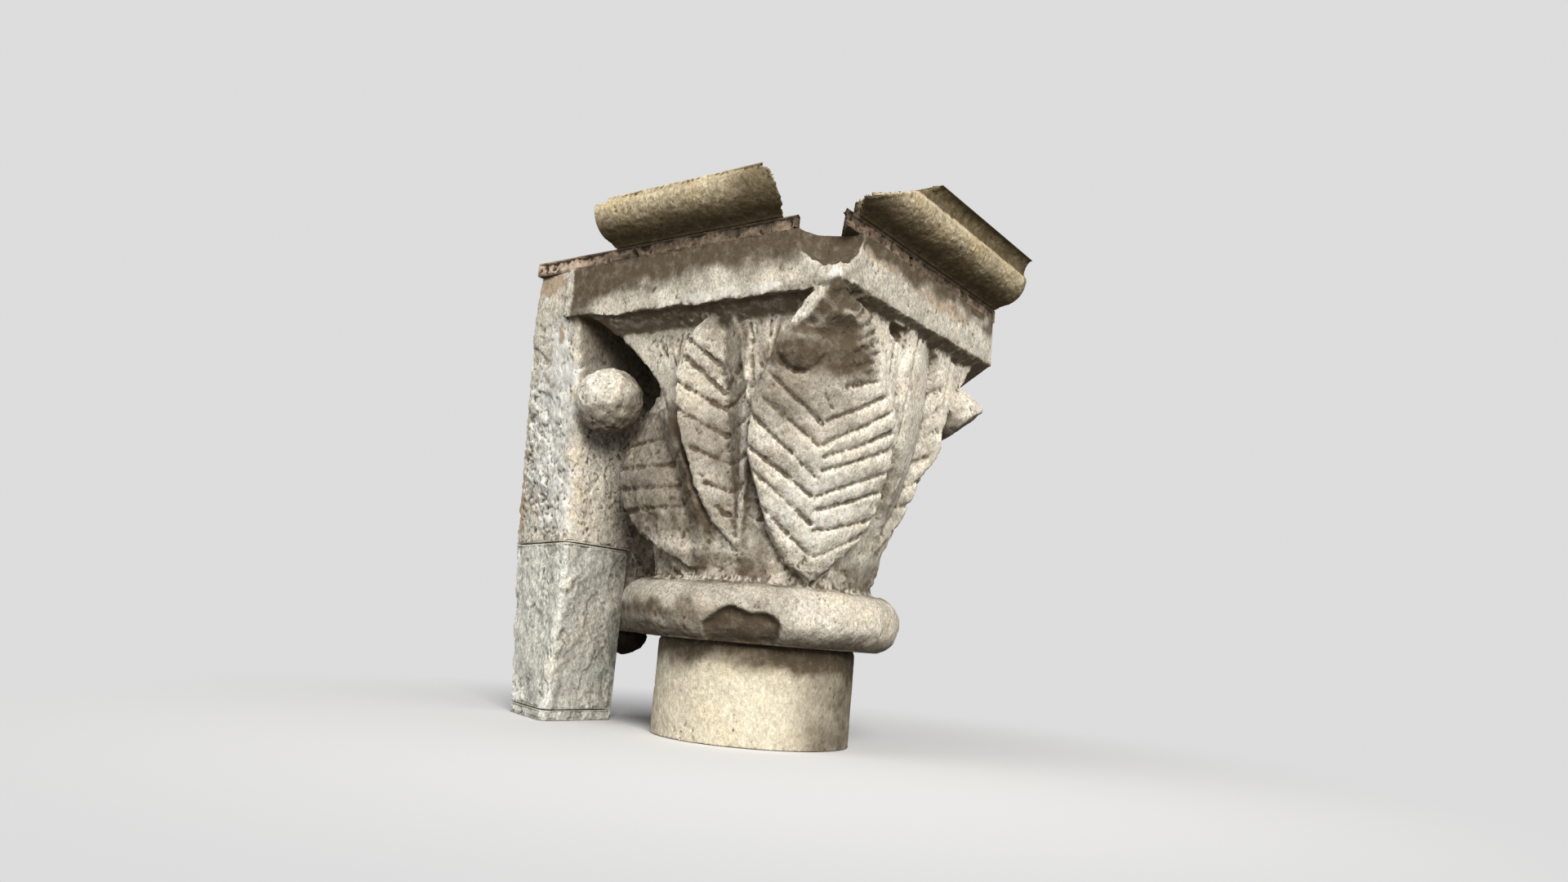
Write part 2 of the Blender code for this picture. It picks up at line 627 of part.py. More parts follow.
def impost_profile(height, flare):
    """Section of the moulding: how far it stands out, and how high, from the back round the front.

    The hollow over the roll flares out by the given length, or without one is broken back.
    """
    quarter = [math.pi / 2 * i / (ROLL_STEPS - 1) for i in range(ROLL_STEPS)]
    roll = [
        (QUIRK + (ROLL_OUT - QUIRK) * math.sin(t), QUIRK + (ROLL_RISE - QUIRK) * (1 - math.cos(t))) for t in quarter
    ]
    lip = (ROLL_OUT - 0.003, ROLL_RISE + 0.004)
    rise = height - lip[1]
    if flare > 0.0:
        hollow = [(lip[0] + flare * (1 - math.cos(t)), lip[1] + rise * math.sin(t)) for t in quarter[2::2]]
    else:
        hollow = [(lip[0] - HOLLOW_IN * math.sin(t), lip[1] + rise * (1 - math.cos(t))) for t in quarter[2::2]]
    return [(-IMPOST_DEPTH, 0.0), (-MORTAR_RECESS, 0.0), *roll, lip, *hollow, (-IMPOST_DEPTH, height)]


def impost_bed():
    return SHAFT_STUB + CAPITAL_HEIGHT + MORTAR_HEIGHT + SEAM


def impost_left():
    """Moulding over the left face, cut square at its left end and broken at the front corner."""
    bed = impost_bed()
    profile = impost_profile(IMPOST_HEIGHT, 0.0)
    far = ABACUS_SIDE

    def section(x):
        return [(x, -ABACUS_FRONT - out, bed + up) for out, up in profile]

    made = loft([section(IMPOST_LEFT_END), section(far)])
    in_x, in_y = break_direction()
    cut_flat(made, (*LEFT_BREAK, bed), (in_y, -in_x, BREAK_LEAN))
    add_object("impost_left", made, IMPOST_STONE)


def impost_right():
    """Moulding over the right face, broken at the front corner and cut square at its far end."""
    bed = impost_bed()
    profile = impost_profile(FLARE_HEIGHT, FLARE_OUT)

    def section(y):
        return [(ABACUS_SIDE + out, y, bed + up) for out, up in profile]

    made = loft([section(-ABACUS_FRONT), section(BED_END)])
    in_x, in_y = break_direction()
    cut_flat(made, (*RIGHT_BREAK, bed), (-in_y, in_x, 0.0))
    slope_y, slope_up = BREAK_SLOPE_FROM
    cut_flat(made, (0.0, slope_y, bed + slope_up), (0.0, -BREAK_SLOPE, 1.0))
    add_object("impost_right", made, IMPOST_STONE)


def packing():
    """A lump of dark packing behind the lower jamb stone, under the capital's tail."""
    centre = (PACKING_CENTRE[0], PACKING_CENTRE[1], PACKING_CENTRE[2] + SHAFT_STUB)
    made = ellipsoid(centre, PACKING_RADII, 14, 9)
    cut_flat(made, (0.0, 0.0, SHAFT_STUB - SEAM), (0.0, 0.0, 1.0))
    cut_flat(made, (0.0, JAMB_LOWER_BACK + SEAM, 0.0), (0.0, -1.0, 0.0))
    add_object("joint_packing", made, PACKING)


def main():
    clear_scene()
    capital_stone()
    jamb_stones()
    shaft_stub()
    mortar_bed()
    impost_left()
    impost_right()
    packing()


main()
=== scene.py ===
import logging
import math
from dataclasses import dataclass, field
from enum import Enum
from typing import Callable, Sequence

import bpy
import numpy as np
from mathutils import Matrix, Vector
from mathutils.bvhtree import BVHTree


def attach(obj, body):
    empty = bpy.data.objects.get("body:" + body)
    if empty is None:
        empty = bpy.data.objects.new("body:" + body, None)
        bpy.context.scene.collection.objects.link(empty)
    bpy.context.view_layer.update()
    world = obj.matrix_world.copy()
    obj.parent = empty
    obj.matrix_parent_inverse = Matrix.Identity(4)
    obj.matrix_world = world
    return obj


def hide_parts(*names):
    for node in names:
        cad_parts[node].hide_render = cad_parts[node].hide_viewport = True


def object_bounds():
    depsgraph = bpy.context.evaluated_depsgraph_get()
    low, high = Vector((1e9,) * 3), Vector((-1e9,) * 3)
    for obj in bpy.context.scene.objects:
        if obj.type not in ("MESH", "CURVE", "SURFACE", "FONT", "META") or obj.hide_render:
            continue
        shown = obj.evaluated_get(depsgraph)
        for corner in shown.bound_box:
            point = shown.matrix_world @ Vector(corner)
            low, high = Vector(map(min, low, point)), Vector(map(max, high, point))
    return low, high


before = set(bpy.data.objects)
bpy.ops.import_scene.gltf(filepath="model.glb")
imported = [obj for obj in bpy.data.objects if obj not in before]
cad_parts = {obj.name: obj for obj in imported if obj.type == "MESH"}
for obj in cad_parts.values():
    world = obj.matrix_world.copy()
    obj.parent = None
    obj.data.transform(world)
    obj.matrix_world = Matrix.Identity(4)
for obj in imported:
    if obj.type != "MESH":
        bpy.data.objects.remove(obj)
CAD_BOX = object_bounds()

Object = bpy.types.Object
Socket = bpy.types.NodeSocket
Points = np.ndarray
PlaceRule = Callable[[Points], Points]
LOG = logging.getLogger("capital")

# The shaft's height under the capital's bed; heights on the capital are measured up from its bed
BED = 0.08
CAPITAL_HEIGHT = 0.3205
ABACUS_HEIGHT = 0.046
ABACUS_FRONT = 0.125
ABACUS_SIDE = 0.14
ABACUS_END = 0.144
NOOK_FACE = 0.14
JAMB_JOINT = 0.0745
JOINT = 0.001
SLAB_FOOT = CAPITAL_HEIGHT - ABACUS_HEIGHT

# The gap left between stones that touch, and how thin a skin counts as lying in a cut face or a bed
SEAM = 0.0003
SKIN = 0.0008
BEDDED = 0.0006

# Width of an edge that doesn't fade
SHARP = 1e-9


def smooth_step(value: Points) -> Points:
    """An eased step from 0 to 1 as the value goes from 0 to 1."""
    value = np.clip(value, 0.0, 1.0)
    return value * value * (3.0 - 2.0 * value)


def rising(value: Points, start: float, width: float) -> Points:
    """0 up to a start, then eased up to 1 over a width."""
    return smooth_step((value - start) / width)


def falling(value: Points, end: float, width: float) -> Points:
    """Eased down to 0 over the width before an end, and 0 past it."""
    return smooth_step((end - value) / width)


class StoneNoise:
    """Seeded irregularity in space, the same on every run."""

    TABLE = np.random.default_rng(1147).random(65536)
    TURN = np.array([[0.36, 0.48, -0.8], [-0.8, 0.6, 0.0], [0.48, 0.64, 0.6]])

    @classmethod
    def layer(cls, points: Points, size: float, seed: int) -> Points:
        """One layer of soft lumps.

        Args:
            points: places, one row each.
            size: how far apart the lumps are, in metres.
            seed: picks the pattern.

        Returns:
            A value from -1 to 1 for each place.
        """
        scaled = points @ cls.TURN.T / size + 17.3 * (seed + 1)
        cell = np.floor(scaled)
        part = scaled - cell
        part = part * part * (3.0 - 2.0 * part)
        cell = cell.astype(np.int64)
        total = np.zeros(len(points))
        for corner in range(8):
            step = np.array([corner & 1, corner >> 1 & 1, corner >> 2 & 1])
            place = cell + step
            mixed = place[:, 0] * 73856093 ^ place[:, 1] * 19349663 ^ place[:, 2] * 83492791 ^ seed * 2654435
            weight = np.prod(np.where(step == 1, part, 1.0 - part), axis=1)
            total += weight * cls.TABLE[mixed & 65535]
        return total * 2.0 - 1.0

    @classmethod
    def layers(cls, points: Points, size: float, seed: int, count: int = 3, keep: float = 0.5) -> Points:
        """Several layers, each half the size of the last.

        Args:
            points: places, one row each.
            size: spacing of the largest lumps, in metres.
            seed: picks the pattern.
            count: how many layers.
            keep: strength of each layer against the last.

        Returns:
            A value of roughly -1 to 1 for each place.
        """
        total = np.zeros(len(points))
        strength = 1.0
        reach = 0.0
        for step in range(count):
            total += strength * cls.layer(points, size / 2**step, seed * 31 + step)
            reach += strength
            strength *= keep
        return total / reach * 1.5

    @classmethod
    def pits(cls, points: Points, size: float, seed: int, rarity: float) -> Points:
        """Small separate hollows, from 0 on sound stone to 1 at the bottom of a pit."""
        ragged = cls.layers(points * np.array([1.0, 1.0, 0.75]), size * 1.5, seed, 3, 0.6)
        return smooth_step((ragged - rarity * 0.8) / 0.3)


class Bench:
    """The modelling steps that all the stones share."""

    @staticmethod
    def pick(*pieces: Object) -> None:
        """Selects only these pieces, the first of them active."""
        bpy.ops.object.select_all(action="DESELECT")
        for piece in pieces:
            piece.select_set(True)
        bpy.context.view_layer.objects.active = pieces[0]

    @staticmethod
    def named(name: str) -> Object:
        """Names the piece that was just added and settles its place into its mesh."""
        piece = bpy.context.active_object
        piece.name = name
        piece.data.name = name
        bpy.ops.object.transform_apply(location=True, rotation=True, scale=True)
        return piece

    @classmethod
    def block(cls, name: str, low: Sequence[float], high: Sequence[float], cuts: int) -> Object:
        """A block between two corners, with its faces divided.

        Args:
            name: the piece's name.
            low: lowest corner in metres.
            high: highest corner in metres.
            cuts: how often each edge is divided.

        Returns:
            The block, at the origin with its place in its mesh.
        """
        bpy.ops.object.select_all(action="DESELECT")
        middle = [(a + b) / 2 for a, b in zip(low, high)]
        size = [b - a for a, b in zip(low, high)]
        bpy.ops.mesh.primitive_cube_add(size=1.0, location=middle, scale=size)
        piece = cls.named(name)
        bpy.ops.object.mode_set(mode="EDIT")
        bpy.ops.mesh.select_all(action="SELECT")
        bpy.ops.mesh.subdivide(number_cuts=cuts)
        bpy.ops.object.mode_set(mode="OBJECT")
        return piece

    @classmethod
    def ball(cls, name: str, centre: Sequence[float], radius: float, detail: int) -> Object:
        """A ball of even triangles, the start of a lump or a carved ball."""
        bpy.ops.object.select_all(action="DESELECT")
        bpy.ops.mesh.primitive_ico_sphere_add(subdivisions=detail, radius=radius, location=centre)
        return cls.named(name)

    @classmethod
    def drum(
        cls, name: str, sides: int, courses: Sequence[int], radius: float, low: float, high: float
    ) -> Object:
        """A closed upright drum whose side is divided into many courses.

        Args:
            name: the piece's name.
            sides: faces round it.
            courses: how often its upright edges are divided, in turn.
            radius: radius in metres.
            low: height of its foot.
            high: height of its top.

        Returns:
            The drum.
        """
        bpy.ops.object.select_all(action="DESELECT")
        middle = (0, 0, (low + high) / 2)
        bpy.ops.mesh.primitive_cylinder_add(
            vertices=sides, radius=radius, depth=high - low, location=middle, end_fill_type="NGON"
        )
        piece = cls.named(name)
        for cuts in courses:
            cls.select_edges(piece, lambda run: np.abs(run[:, 2]) > np.hypot(run[:, 0], run[:, 1]))
            bpy.ops.object.mode_set(mode="EDIT")
            bpy.ops.mesh.subdivide(number_cuts=cuts)
            bpy.ops.object.mode_set(mode="OBJECT")
        return piece

    @classmethod
    def extrusion(cls, name: str, outline: Points, along: Sequence[float]) -> Object:
        """A flat outline drawn out into a closed solid.

        Args:
            name: the piece's name.
            outline: corners of one end, one row each, in metres.
            along: the run from that end to the other.

        Returns:
            The solid.
        """
        bpy.ops.object.select_all(action="DESELECT")
        bpy.ops.mesh.primitive_circle_add(vertices=len(outline), radius=0.1, fill_type="NGON")
        piece = cls.named(name)
        cls.place(piece, np.asarray(outline, float))
        bpy.ops.object.mode_set(mode="EDIT")
        bpy.ops.mesh.select_all(action="SELECT")
        bpy.ops.mesh.extrude_region_move(TRANSFORM_OT_translate={"value": tuple(along)})
        bpy.ops.mesh.select_all(action="SELECT")
        bpy.ops.mesh.normals_make_consistent(inside=False)
        bpy.ops.object.mode_set(mode="OBJECT")
        return piece

    @staticmethod
    def select_edges(piece: Object, choose: Callable[[Points], Points]) -> None:
        """Selects the edges whose run from end to end the rule chooses."""
        mesh = piece.data
        ends = np.empty(len(mesh.edges) * 2, np.int32)
        mesh.edges.foreach_get("vertices", ends)
        ends = ends.reshape(-1, 2)
        at = Bench.points(piece)
        chosen = choose(at[ends[:, 1]] - at[ends[:, 0]])
        bpy.ops.object.mode_set(mode="EDIT")
        bpy.context.tool_settings.mesh_select_mode = (False, True, False)
        bpy.ops.mesh.select_all(action="DESELECT")
        bpy.ops.object.mode_set(mode="OBJECT")
        mesh.edges.foreach_set("select", chosen)

    @staticmethod
    def cut_away(piece: Object, point: Sequence[float], normal: Sequence[float]) -> None:
        """Cuts off what lies beyond a plane, on the side its normal points to, and closes the cut."""
        Bench.pick(piece)
        bpy.ops.object.mode_set(mode="EDIT")
        bpy.ops.mesh.select_all(action="SELECT")
        bpy.ops.mesh.bisect(plane_co=tuple(point), plane_no=tuple(normal), use_fill=True, clear_outer=True)
        bpy.ops.object.mode_set(mode="OBJECT")

    @staticmethod
    def hollow_out(piece: Object, cutter: Object) -> None:
        """Takes the cutter's shape out of a piece and throws the cutter away."""
        Bench.pick(piece)
        change = piece.modifiers.new("hollow", "BOOLEAN")
        change.operation = "DIFFERENCE"
        change.solver = "EXACT"
        change.object = cutter
        bpy.ops.object.modifier_apply(modifier=change.name)
        bpy.data.objects.remove(cutter, do_unlink=True)

    @staticmethod
    def points(piece: Object) -> Points:
        """Every corner of the mesh, one row each."""
        mesh = piece.data
        flat = np.empty(len(mesh.vertices) * 3)
        mesh.vertices.foreach_get("co", flat)
        return flat.reshape(-1, 3)

    @staticmethod
    def place(piece: Object, points: Points) -> None:
        """Moves every corner of the mesh to its row."""
        piece.data.vertices.foreach_set("co", np.ascontiguousarray(points, np.float64).ravel())
        piece.data.update()

    @staticmethod
    def normals(piece: Object) -> Points:
        """Outward direction at every corner, one row each."""
        mesh = piece.data
        flat = np.empty(len(mesh.vertices) * 3)
        mesh.vertices.foreach_get("normal", flat)
        return flat.reshape(-1, 3)

    @staticmethod
    def relaxed(piece: Object, points: Points, rounds: int) -> Points:
        """The corners after each is drawn towards its neighbours several times.

        Args:
            piece: the mesh that says who neighbours whom.
            points: places to relax, one row each.
            rounds: how many times.

        Returns:
            The relaxed places.
        """
        ends = np.empty(len(piece.data.edges) * 2, np.int32)
        piece.data.edges.foreach_get("vertices", ends)
        a, b = ends.reshape(-1, 2).T
        count = np.maximum(np.bincount(a, minlength=len(points)) + np.bincount(b, minlength=len(points)), 1)
        current = points.copy()
        for _ in range(rounds):
            pulled = np.empty_like(current)
            for axis in range(current.shape[1]):
                column = current[:, axis]
                gathered = np.bincount(a, column[b], len(points)) + np.bincount(b, column[a], len(points))
                pulled[:, axis] = gathered / count
            current += (pulled - current) * 0.6
        return current

    @classmethod
    def fused(cls, name: str, forms: Sequence[Object], grain: float) -> Object:
        """Overlapping closed forms made one skin.

        Args:
            name: name of the finished piece.
            forms: the forms that overlap.
            grain: size of the new mesh's faces in metres.

        Returns:
            The one piece.
        """
        cls.pick(*forms)
        if len(forms) > 1:
            bpy.ops.object.join()
        piece = bpy.context.active_object
        piece.name = name
        piece.data.name = name
        skin = piece.modifiers.new("skin", "REMESH")
        skin.mode = "VOXEL"
        skin.voxel_size = grain
        bpy.ops.object.modifier_apply(modifier=skin.name)
        return piece

    @classmethod
    def thinned(cls, piece: Object, triangles: int) -> None:
        """Spends fewer triangles on flat stone, down to a number in all."""
        count = sum(len(face.vertices) - 2 for face in piece.data.polygons)
        if count <= triangles:
            return
        cls.pick(piece)
        fewer = piece.modifiers.new("fewer", "DECIMATE")
        fewer.ratio = triangles / count
        bpy.ops.object.modifier_apply(modifier=fewer.name)


# Rounds of smoothing that find the arrises and how deep they chip, then in metres how far
# smoothing moves a full arris, a full cut and a rubbed arris, and how wide the fields of pits are
ARRIS_ROUNDS, CHIP_ROUNDS = 5, 18
ARRIS_DEPTH, CUT_DEPTH, RUB_DEPTH = 0.00022, 0.00036, 0.00028
PIT_FIELD = 0.03


@dataclass(frozen=True)
class Wear:
    """How a stone's skin has weathered: amounts in metres, at sizes in metres."""

    lumps: float = 0.0006
    lump_size: float = 0.02
    grain: float = 0.00028
    grain_size: float = 0.003
    pits: float = 0.0012
    pit_size: float = 0.0045
    pit_rarity: float = 0.55
    arris: float = 0.8
    chip_size: float = 0.012
    flakes: float = 0.0
    flake_size: float = 0.026
    seed: int = 1

    def apply(self, piece: Object, hidden: PlaceRule, rough: PlaceRule) -> None:
        """Rounds and chips the arrises and roughens the faces.

        Args:
            piece: the stone, with an even mesh.
            hidden: tells from the places which lie on a cut face that stays flat, as 1 or 0.
            rough: how rough each place is, 1 being the usual.
        """
        at = Bench.points(piece)
        out = Bench.normals(piece)
        kept = 1.0 - hidden(at)
        soft = Bench.relaxed(piece, at, ARRIS_ROUNDS)
        softer = Bench.relaxed(piece, soft, CHIP_ROUNDS)
        edge = smooth_step(-np.einsum("ij,ij->i", soft - at, out) / ARRIS_DEPTH - 0.25)
        chip = smooth_step((StoneNoise.layers(at, self.chip_size, self.seed + 40, 3) + 0.05) * 1.6)
        worn = at + (soft - at) * (edge * self.arris * kept)[:, None]
        worn += (softer - soft) * (edge * chip * self.arris * kept)[:, None]
        strength = rough(at) * kept
        move = -self.lumps * (1.0 + StoneNoise.layers(at, self.lump_size, self.seed, 2)) * 0.5
        move += self.grain * StoneNoise.layers(at, self.grain_size, self.seed + 3, 3, 0.6)
        field_of_pits = smooth_step(StoneNoise.layers(at, PIT_FIELD, self.seed + 9, 2) * 1.4 + 0.5)
        move -= self.pits * StoneNoise.pits(at, self.pit_size, self.seed + 5, self.pit_rarity) * field_of_pits
        flaked = smooth_step((StoneNoise.layers(at, self.flake_size, self.seed + 15, 4, 0.62) - 0.18) / 0.14)
        move -= self.flakes * flaked
        worn += out * (move * strength)[:, None]
        Bench.place(piece, worn)


class StoneMarks:
    """Soft masks kept on the mesh for the finishes to read.

    A ray for shelter starts this lift above the stone and runs this reach, in metres.
    """

    lift = 0.0012
    reach = 0.25

    @staticmethod
    def keep(piece: Object, name: str, values: Points) -> None:
        """Keeps one value for each corner of the mesh under a name."""
        mesh = piece.data
        mark = mesh.attributes.get(name) or mesh.attributes.new(name, "FLOAT", "POINT")
        mark.data.foreach_set("value", np.clip(values, 0.0, 1.0).astype(np.float32))

    @classmethod
    def hollows(cls, piece: Object) -> None:
        """Marks the cuts and narrow corners where dirt and painted shade lie, and the arrises that are rubbed
        pale.
        """
        at = Bench.points(piece)
        out = Bench.normals(piece)
        near = Bench.relaxed(piece, at, ARRIS_ROUNDS)
        narrow = np.einsum("ij,ij->i", near - at, out)
        cls.keep(piece, "grime_and_shade", smooth_step(narrow / CUT_DEPTH - 0.22))
        cls.keep(piece, "bright", smooth_step(-narrow / RUB_DEPTH - 0.1))

    @classmethod
    def shelter(cls, pieces: Sequence[Object], rays: int) -> None:
        """Marks how far each place is sheltered from the open sky in front of the wall, which the finishes
        paint as shade and dirt.

        Args:
            pieces: all the stones, which shelter each other.
            rays: how many directions are tried from each place.
        """
        corners, faces, count = [], [], 0
        for piece in pieces:
            at = Bench.points(piece)
            corners += at.tolist()
            faces += [[v + count for v in face.vertices] for face in piece.data.polygons]
            count += len(at)
        tree = BVHTree.FromPolygons(corners, faces)
        cast = tree.ray_cast
        chance = np.random.default_rng(77)
        for piece in pieces:
            at, out = Bench.points(piece), Bench.normals(piece)
            way = chance.normal(size=(len(at), rays, 3))
            way = way / np.linalg.norm(way, axis=2)[:, :, None] * 0.98 + out[:, None, :]
            way /= np.linalg.norm(way, axis=2)[:, :, None]
            # The sky is weighted brighter above than below, so the mark is painted shade from the sky's light
            sky = 0.1 + smooth_step((way[:, :, 2] + 0.3) / 0.9)
            start = (at + out * cls.lift).tolist()
            open_to = np.array([
                [cast(place, one, cls.reach)[0] is None for one in several]
                for place, several in zip(start, way.tolist())
            ])
            seen = (sky * open_to).mean(1)[:, None]
            seen = Bench.relaxed(piece, seen, 2)[:, 0]
            cls.keep(piece, "sheltered", 1.0 - seen / 0.95)

    @classmethod
    def patches(cls, piece: Object, name: str, spots: Sequence[tuple], seed: int) -> None:
        """Marks ragged patches on the stone.

        Args:
            piece: the finished stone.
            name: name of the mark.
            spots: for each patch its centre, its three radii and its strength.
            seed: picks the ragged edge.
        """
        at = Bench.points(piece)
        ragged = StoneNoise.layers(at, 0.016, seed, 4, 0.65)
        total = np.zeros(len(at))
        for centre, radii, strength in spots:
            away = np.sqrt((((at - np.array(centre)) / np.array(radii)) ** 2).sum(1))
            total = np.maximum(total, strength * smooth_step((1.0 - away + ragged * 0.45) * 2.0))
        cls.keep(piece, name, total)


@dataclass(frozen=True)
class Leaf:
    """One leaf on the bell, given at a few heights from its tip to its top.

    Each margin and the midrib are angles in degrees round the shaft with radii of their own.
    A cut runs from (angle, height) on the midrib to (angle, height) at the margin.
    """

    heights: tuple
    left: tuple
    rib: tuple
    right: tuple
    left_radius: tuple
    rib_radius: tuple
    right_radius: tuple
    cuts: tuple = ()
    cut_depth: float = 0.0036
    cut_width: float = 0.0015
    pillow: float = 0.0013
    edge: float = 0.0024

    def at(self, values: tuple, height: Points) -> Points:
        """A value between the leaf's stations."""
        return np.interp(height, self.heights, values)


FRONT_LEAF = Leaf(
    heights=(0.0495, 0.066, 0.088, 0.106, 0.146, 0.19, 0.217, 0.237, 0.262, 0.276),
    left=(-32.5, -45, -53.4, -57, -63, -61.8, -57.5, -53.7, -48.8, -44),
    rib=(-32, -34, -36, -37, -38, -39, -40, -41, -41.5, -41.5),
    right=(-31, -21.5, -11.5, -7.8, -7.8, -9.8, -14.3, -20, -30, -41),
    left_radius=(0.1, 0.107, 0.1155, 0.1225, 0.136, 0.146, 0.152, 0.159, 0.173, 0.18),
    rib_radius=(0.101, 0.108, 0.1165, 0.124, 0.1385, 0.1485, 0.156, 0.164, 0.179, 0.186),
    right_radius=(0.1, 0.107, 0.1155, 0.1215, 0.1355, 0.144, 0.152, 0.159, 0.172, 0.18),
    cuts=(
        ((-37.7, 0.1687), (-59.6, 0.2115)),
        ((-39.3, 0.1551), (-62.0, 0.1935)),
        ((-37.9, 0.1296), (-63.0, 0.1768)),
        ((-38.9, 0.1164), (-63.0, 0.1510)),
        ((-37.0, 0.0957), (-62.5, 0.1350)),
        ((-34.0, 0.0705), (-57.5, 0.1064)),
        ((-30.6, 0.2172), (-18.4, 0.2345)),
        ((-32.8, 0.2015), (-13.6, 0.2225)),
        ((-37.3, 0.1744), (-12.2, 0.2112)),
        ((-38.7, 0.1547), (-10.0, 0.1972)),
        ((-36.8, 0.1472), (-8.8, 0.1795)),
        ((-36.7, 0.1361), (-7.8, 0.1666)),
        ((-36.8, 0.1169), (-6.6, 0.1478)),
        ((-37.4, 0.1056), (-6.4, 0.1315)),
        ((-35.1, 0.0911), (-7.6, 0.1076)),
        ((-33.2, 0.0707), (-10.8, 0.0948)),
    ),
)

LEFT_MIDDLE_LEAF = Leaf(
    heights=(0.073, 0.0975, 0.123, 0.156, 0.188, 0.2155, 0.243, 0.254, 0.263),
    left=(-67, -81.5, -87.5, -93.5, -99.3, -99.8, -97.5, -94, -87),
    rib=(-66.5, -70, -71.5, -75, -77.7, -80.5, -81, -81, -81),
    right=(-65.5, -64, -64, -64.3, -64.5, -64, -69.5, -72, -76),
    left_radius=(0.103, 0.109, 0.1145, 0.1205, 0.1225, 0.1225, 0.12, 0.118, 0.116),
    rib_radius=(0.101, 0.101, 0.101, 0.101, 0.101, 0.102, 0.104, 0.105, 0.106),
    right_radius=(0.103, 0.109, 0.113, 0.118, 0.12, 0.12, 0.118, 0.117, 0.116),
    cuts=(
        ((-80.2, 0.2006), (-96.8, 0.2285)),
        ((-77.6, 0.1855), (-100.4, 0.2095)),
        ((-75.9, 0.1631), (-98.5, 0.1850)),
        ((-73.0, 0.1397), (-89.4, 0.1520)),
        ((-71.0, 0.118), (-83.0, 0.1241)),
        ((-70.3, 0.0983), (-77.0, 0.1048)),
        ((-83.0, 0.2240), (-96.5, 0.2440)),
        ((-80.2, 0.2006), (-69.2, 0.2212)),
        ((-77.6, 0.1855), (-66.8, 0.2010)),
        ((-75.9, 0.1631), (-64.6, 0.1770)),
        ((-73.0, 0.1397), (-65.0, 0.1466)),
        ((-71.0, 0.118), (-65.5, 0.1240)),
    ),
    cut_depth=0.0038,
    cut_width=0.0017,
)

LEFT_CORNER_LEAF = Leaf(
    heights=(0.054, 0.061, 0.0785, 0.0925, 0.1065, 0.121, 0.14, 0.16, 0.19, 0.205),
    left=(-89, -98, -121, -131, -136, -139.5, -142, -143, -143, -142),
    rib=(-88, -89, -91.5, -94, -97.5, -101.5, -107, -114.5, -125, -130),
    right=(-87, -84, -82, -83, -86, -89.5, -94, -100.5, -112, -119),
    left_radius=(0.1, 0.101, 0.113, 0.121, 0.1305, 0.1355, 0.1375, 0.1335, 0.121, 0.108),
    rib_radius=(0.1, 0.1, 0.1, 0.1, 0.1005, 0.101, 0.1025, 0.105, 0.11, 0.11),
    right_radius=(0.1, 0.104, 0.107, 0.109, 0.111, 0.112, 0.113, 0.113, 0.112, 0.11),
    cuts=(
        ((-114.5, 0.1664), (-144.0, 0.1600)),
        ((-107.5, 0.1415), (-143.0, 0.1410)),
        ((-102.0, 0.1224), (-140.0, 0.1218)),
        ((-98.0, 0.1065), (-136.0, 0.1010)),
        ((-107.5, 0.1415), (-96.0, 0.1540)),
        ((-102.0, 0.1224), (-90.5, 0.1360)),
        ((-98.0, 0.1065), (-86.5, 0.1190)),
        ((-94.0, 0.0913), (-83.5, 0.1010)),
    ),
    cut_depth=0.0032,
    cut_width=0.0017,
)

RIGHT_MIDDLE_LEAF = Leaf(
    heights=(0.085, 0.11, 0.13, 0.152, 0.176, 0.205, 0.235, 0.26, 0.277),
    left=(12, 9, 7, 4.5, -0.5, 1, 4.5, 7.5, 10),
    rib=(14, 19, 22, 23.5, 24.5, 25, 25.5, 25, 16),
    right=(18, 26, 28, 28, 28, 28.2, 28.7, 24.5, 18.5),
    left_radius=(0.1, 0.108, 0.117, 0.124, 0.13, 0.13, 0.1315, 0.132, 0.133),
    rib_radius=(0.1, 0.107, 0.1145, 0.1205, 0.126, 0.131, 0.133, 0.1345, 0.133),
    right_radius=(0.103, 0.119, 0.1285, 0.1355, 0.142, 0.1475, 0.15, 0.145, 0.139),
    cuts=(
        ((25.4, 0.2259), (29.2, 0.2399)),
        ((25.0, 0.2042), (28.8, 0.2193)),
        ((24.7, 0.187), (28.6, 0.1993)),
        ((23.9, 0.1644), (28.4, 0.1742)),
        ((23.0, 0.1435), (28.4, 0.1525)),
        ((20.5, 0.1256), (28.4, 0.13)),
    ),
    cut_depth=0.0042,
    cut_width=0.0022,
)

RIGHT_BLADE = Leaf(
    heights=(0.17, 0.187, 0.21, 0.232, 0.25, 0.276),
    left=(-1.6, -3.2, -5.2, -4.9, -1.5, -0.8),
    rib=(-1.4, -2.2, -2.5, -0.5, 1.5, 3.5),
    right=(-1.2, -1.4, 0.3, 3.2, 5.3, 8.5),
    left_radius=(0.13, 0.1315, 0.133, 0.133, 0.133, 0.133),
    rib_radius=(0.13, 0.1325, 0.134, 0.1345, 0.1345, 0.134),
    right_radius=(0.13, 0.1315, 0.133, 0.133, 0.133, 0.1335),
    edge=0.0014,
)

RIGHT_CORNER_LEAF = Leaf(
    heights=(0.056, 0.08, 0.1, 0.12, 0.145, 0.17, 0.19, 0.205),
    left=(24, 25, 27, 30, 33, 38, 44, 50),
    rib=(25, 32, 36, 40, 45, 50, 54, 57),
    right=(26, 44, 52, 58, 63, 66, 70, 74),
    left_radius=(0.098, 0.1015, 0.111, 0.121, 0.128, 0.134, 0.13, 0.116),
    rib_radius=(0.098, 0.1, 0.106, 0.111, 0.116, 0.12, 0.118, 0.112),
    right_radius=(0.098, 0.104, 0.111, 0.117, 0.122, 0.126, 0.12, 0.11),
    cuts=(
        ((45.0, 0.145), (34.0, 0.157)),
        ((40.0, 0.12), (30.5, 0.134)),
        ((36.0, 0.1), (27.5, 0.113)),
        ((50.0, 0.165), (66.0, 0.16)),
        ((45.0, 0.1415), (63.0, 0.141)),
        ((41.0, 0.122), (59.0, 0.122)),
    ),
)


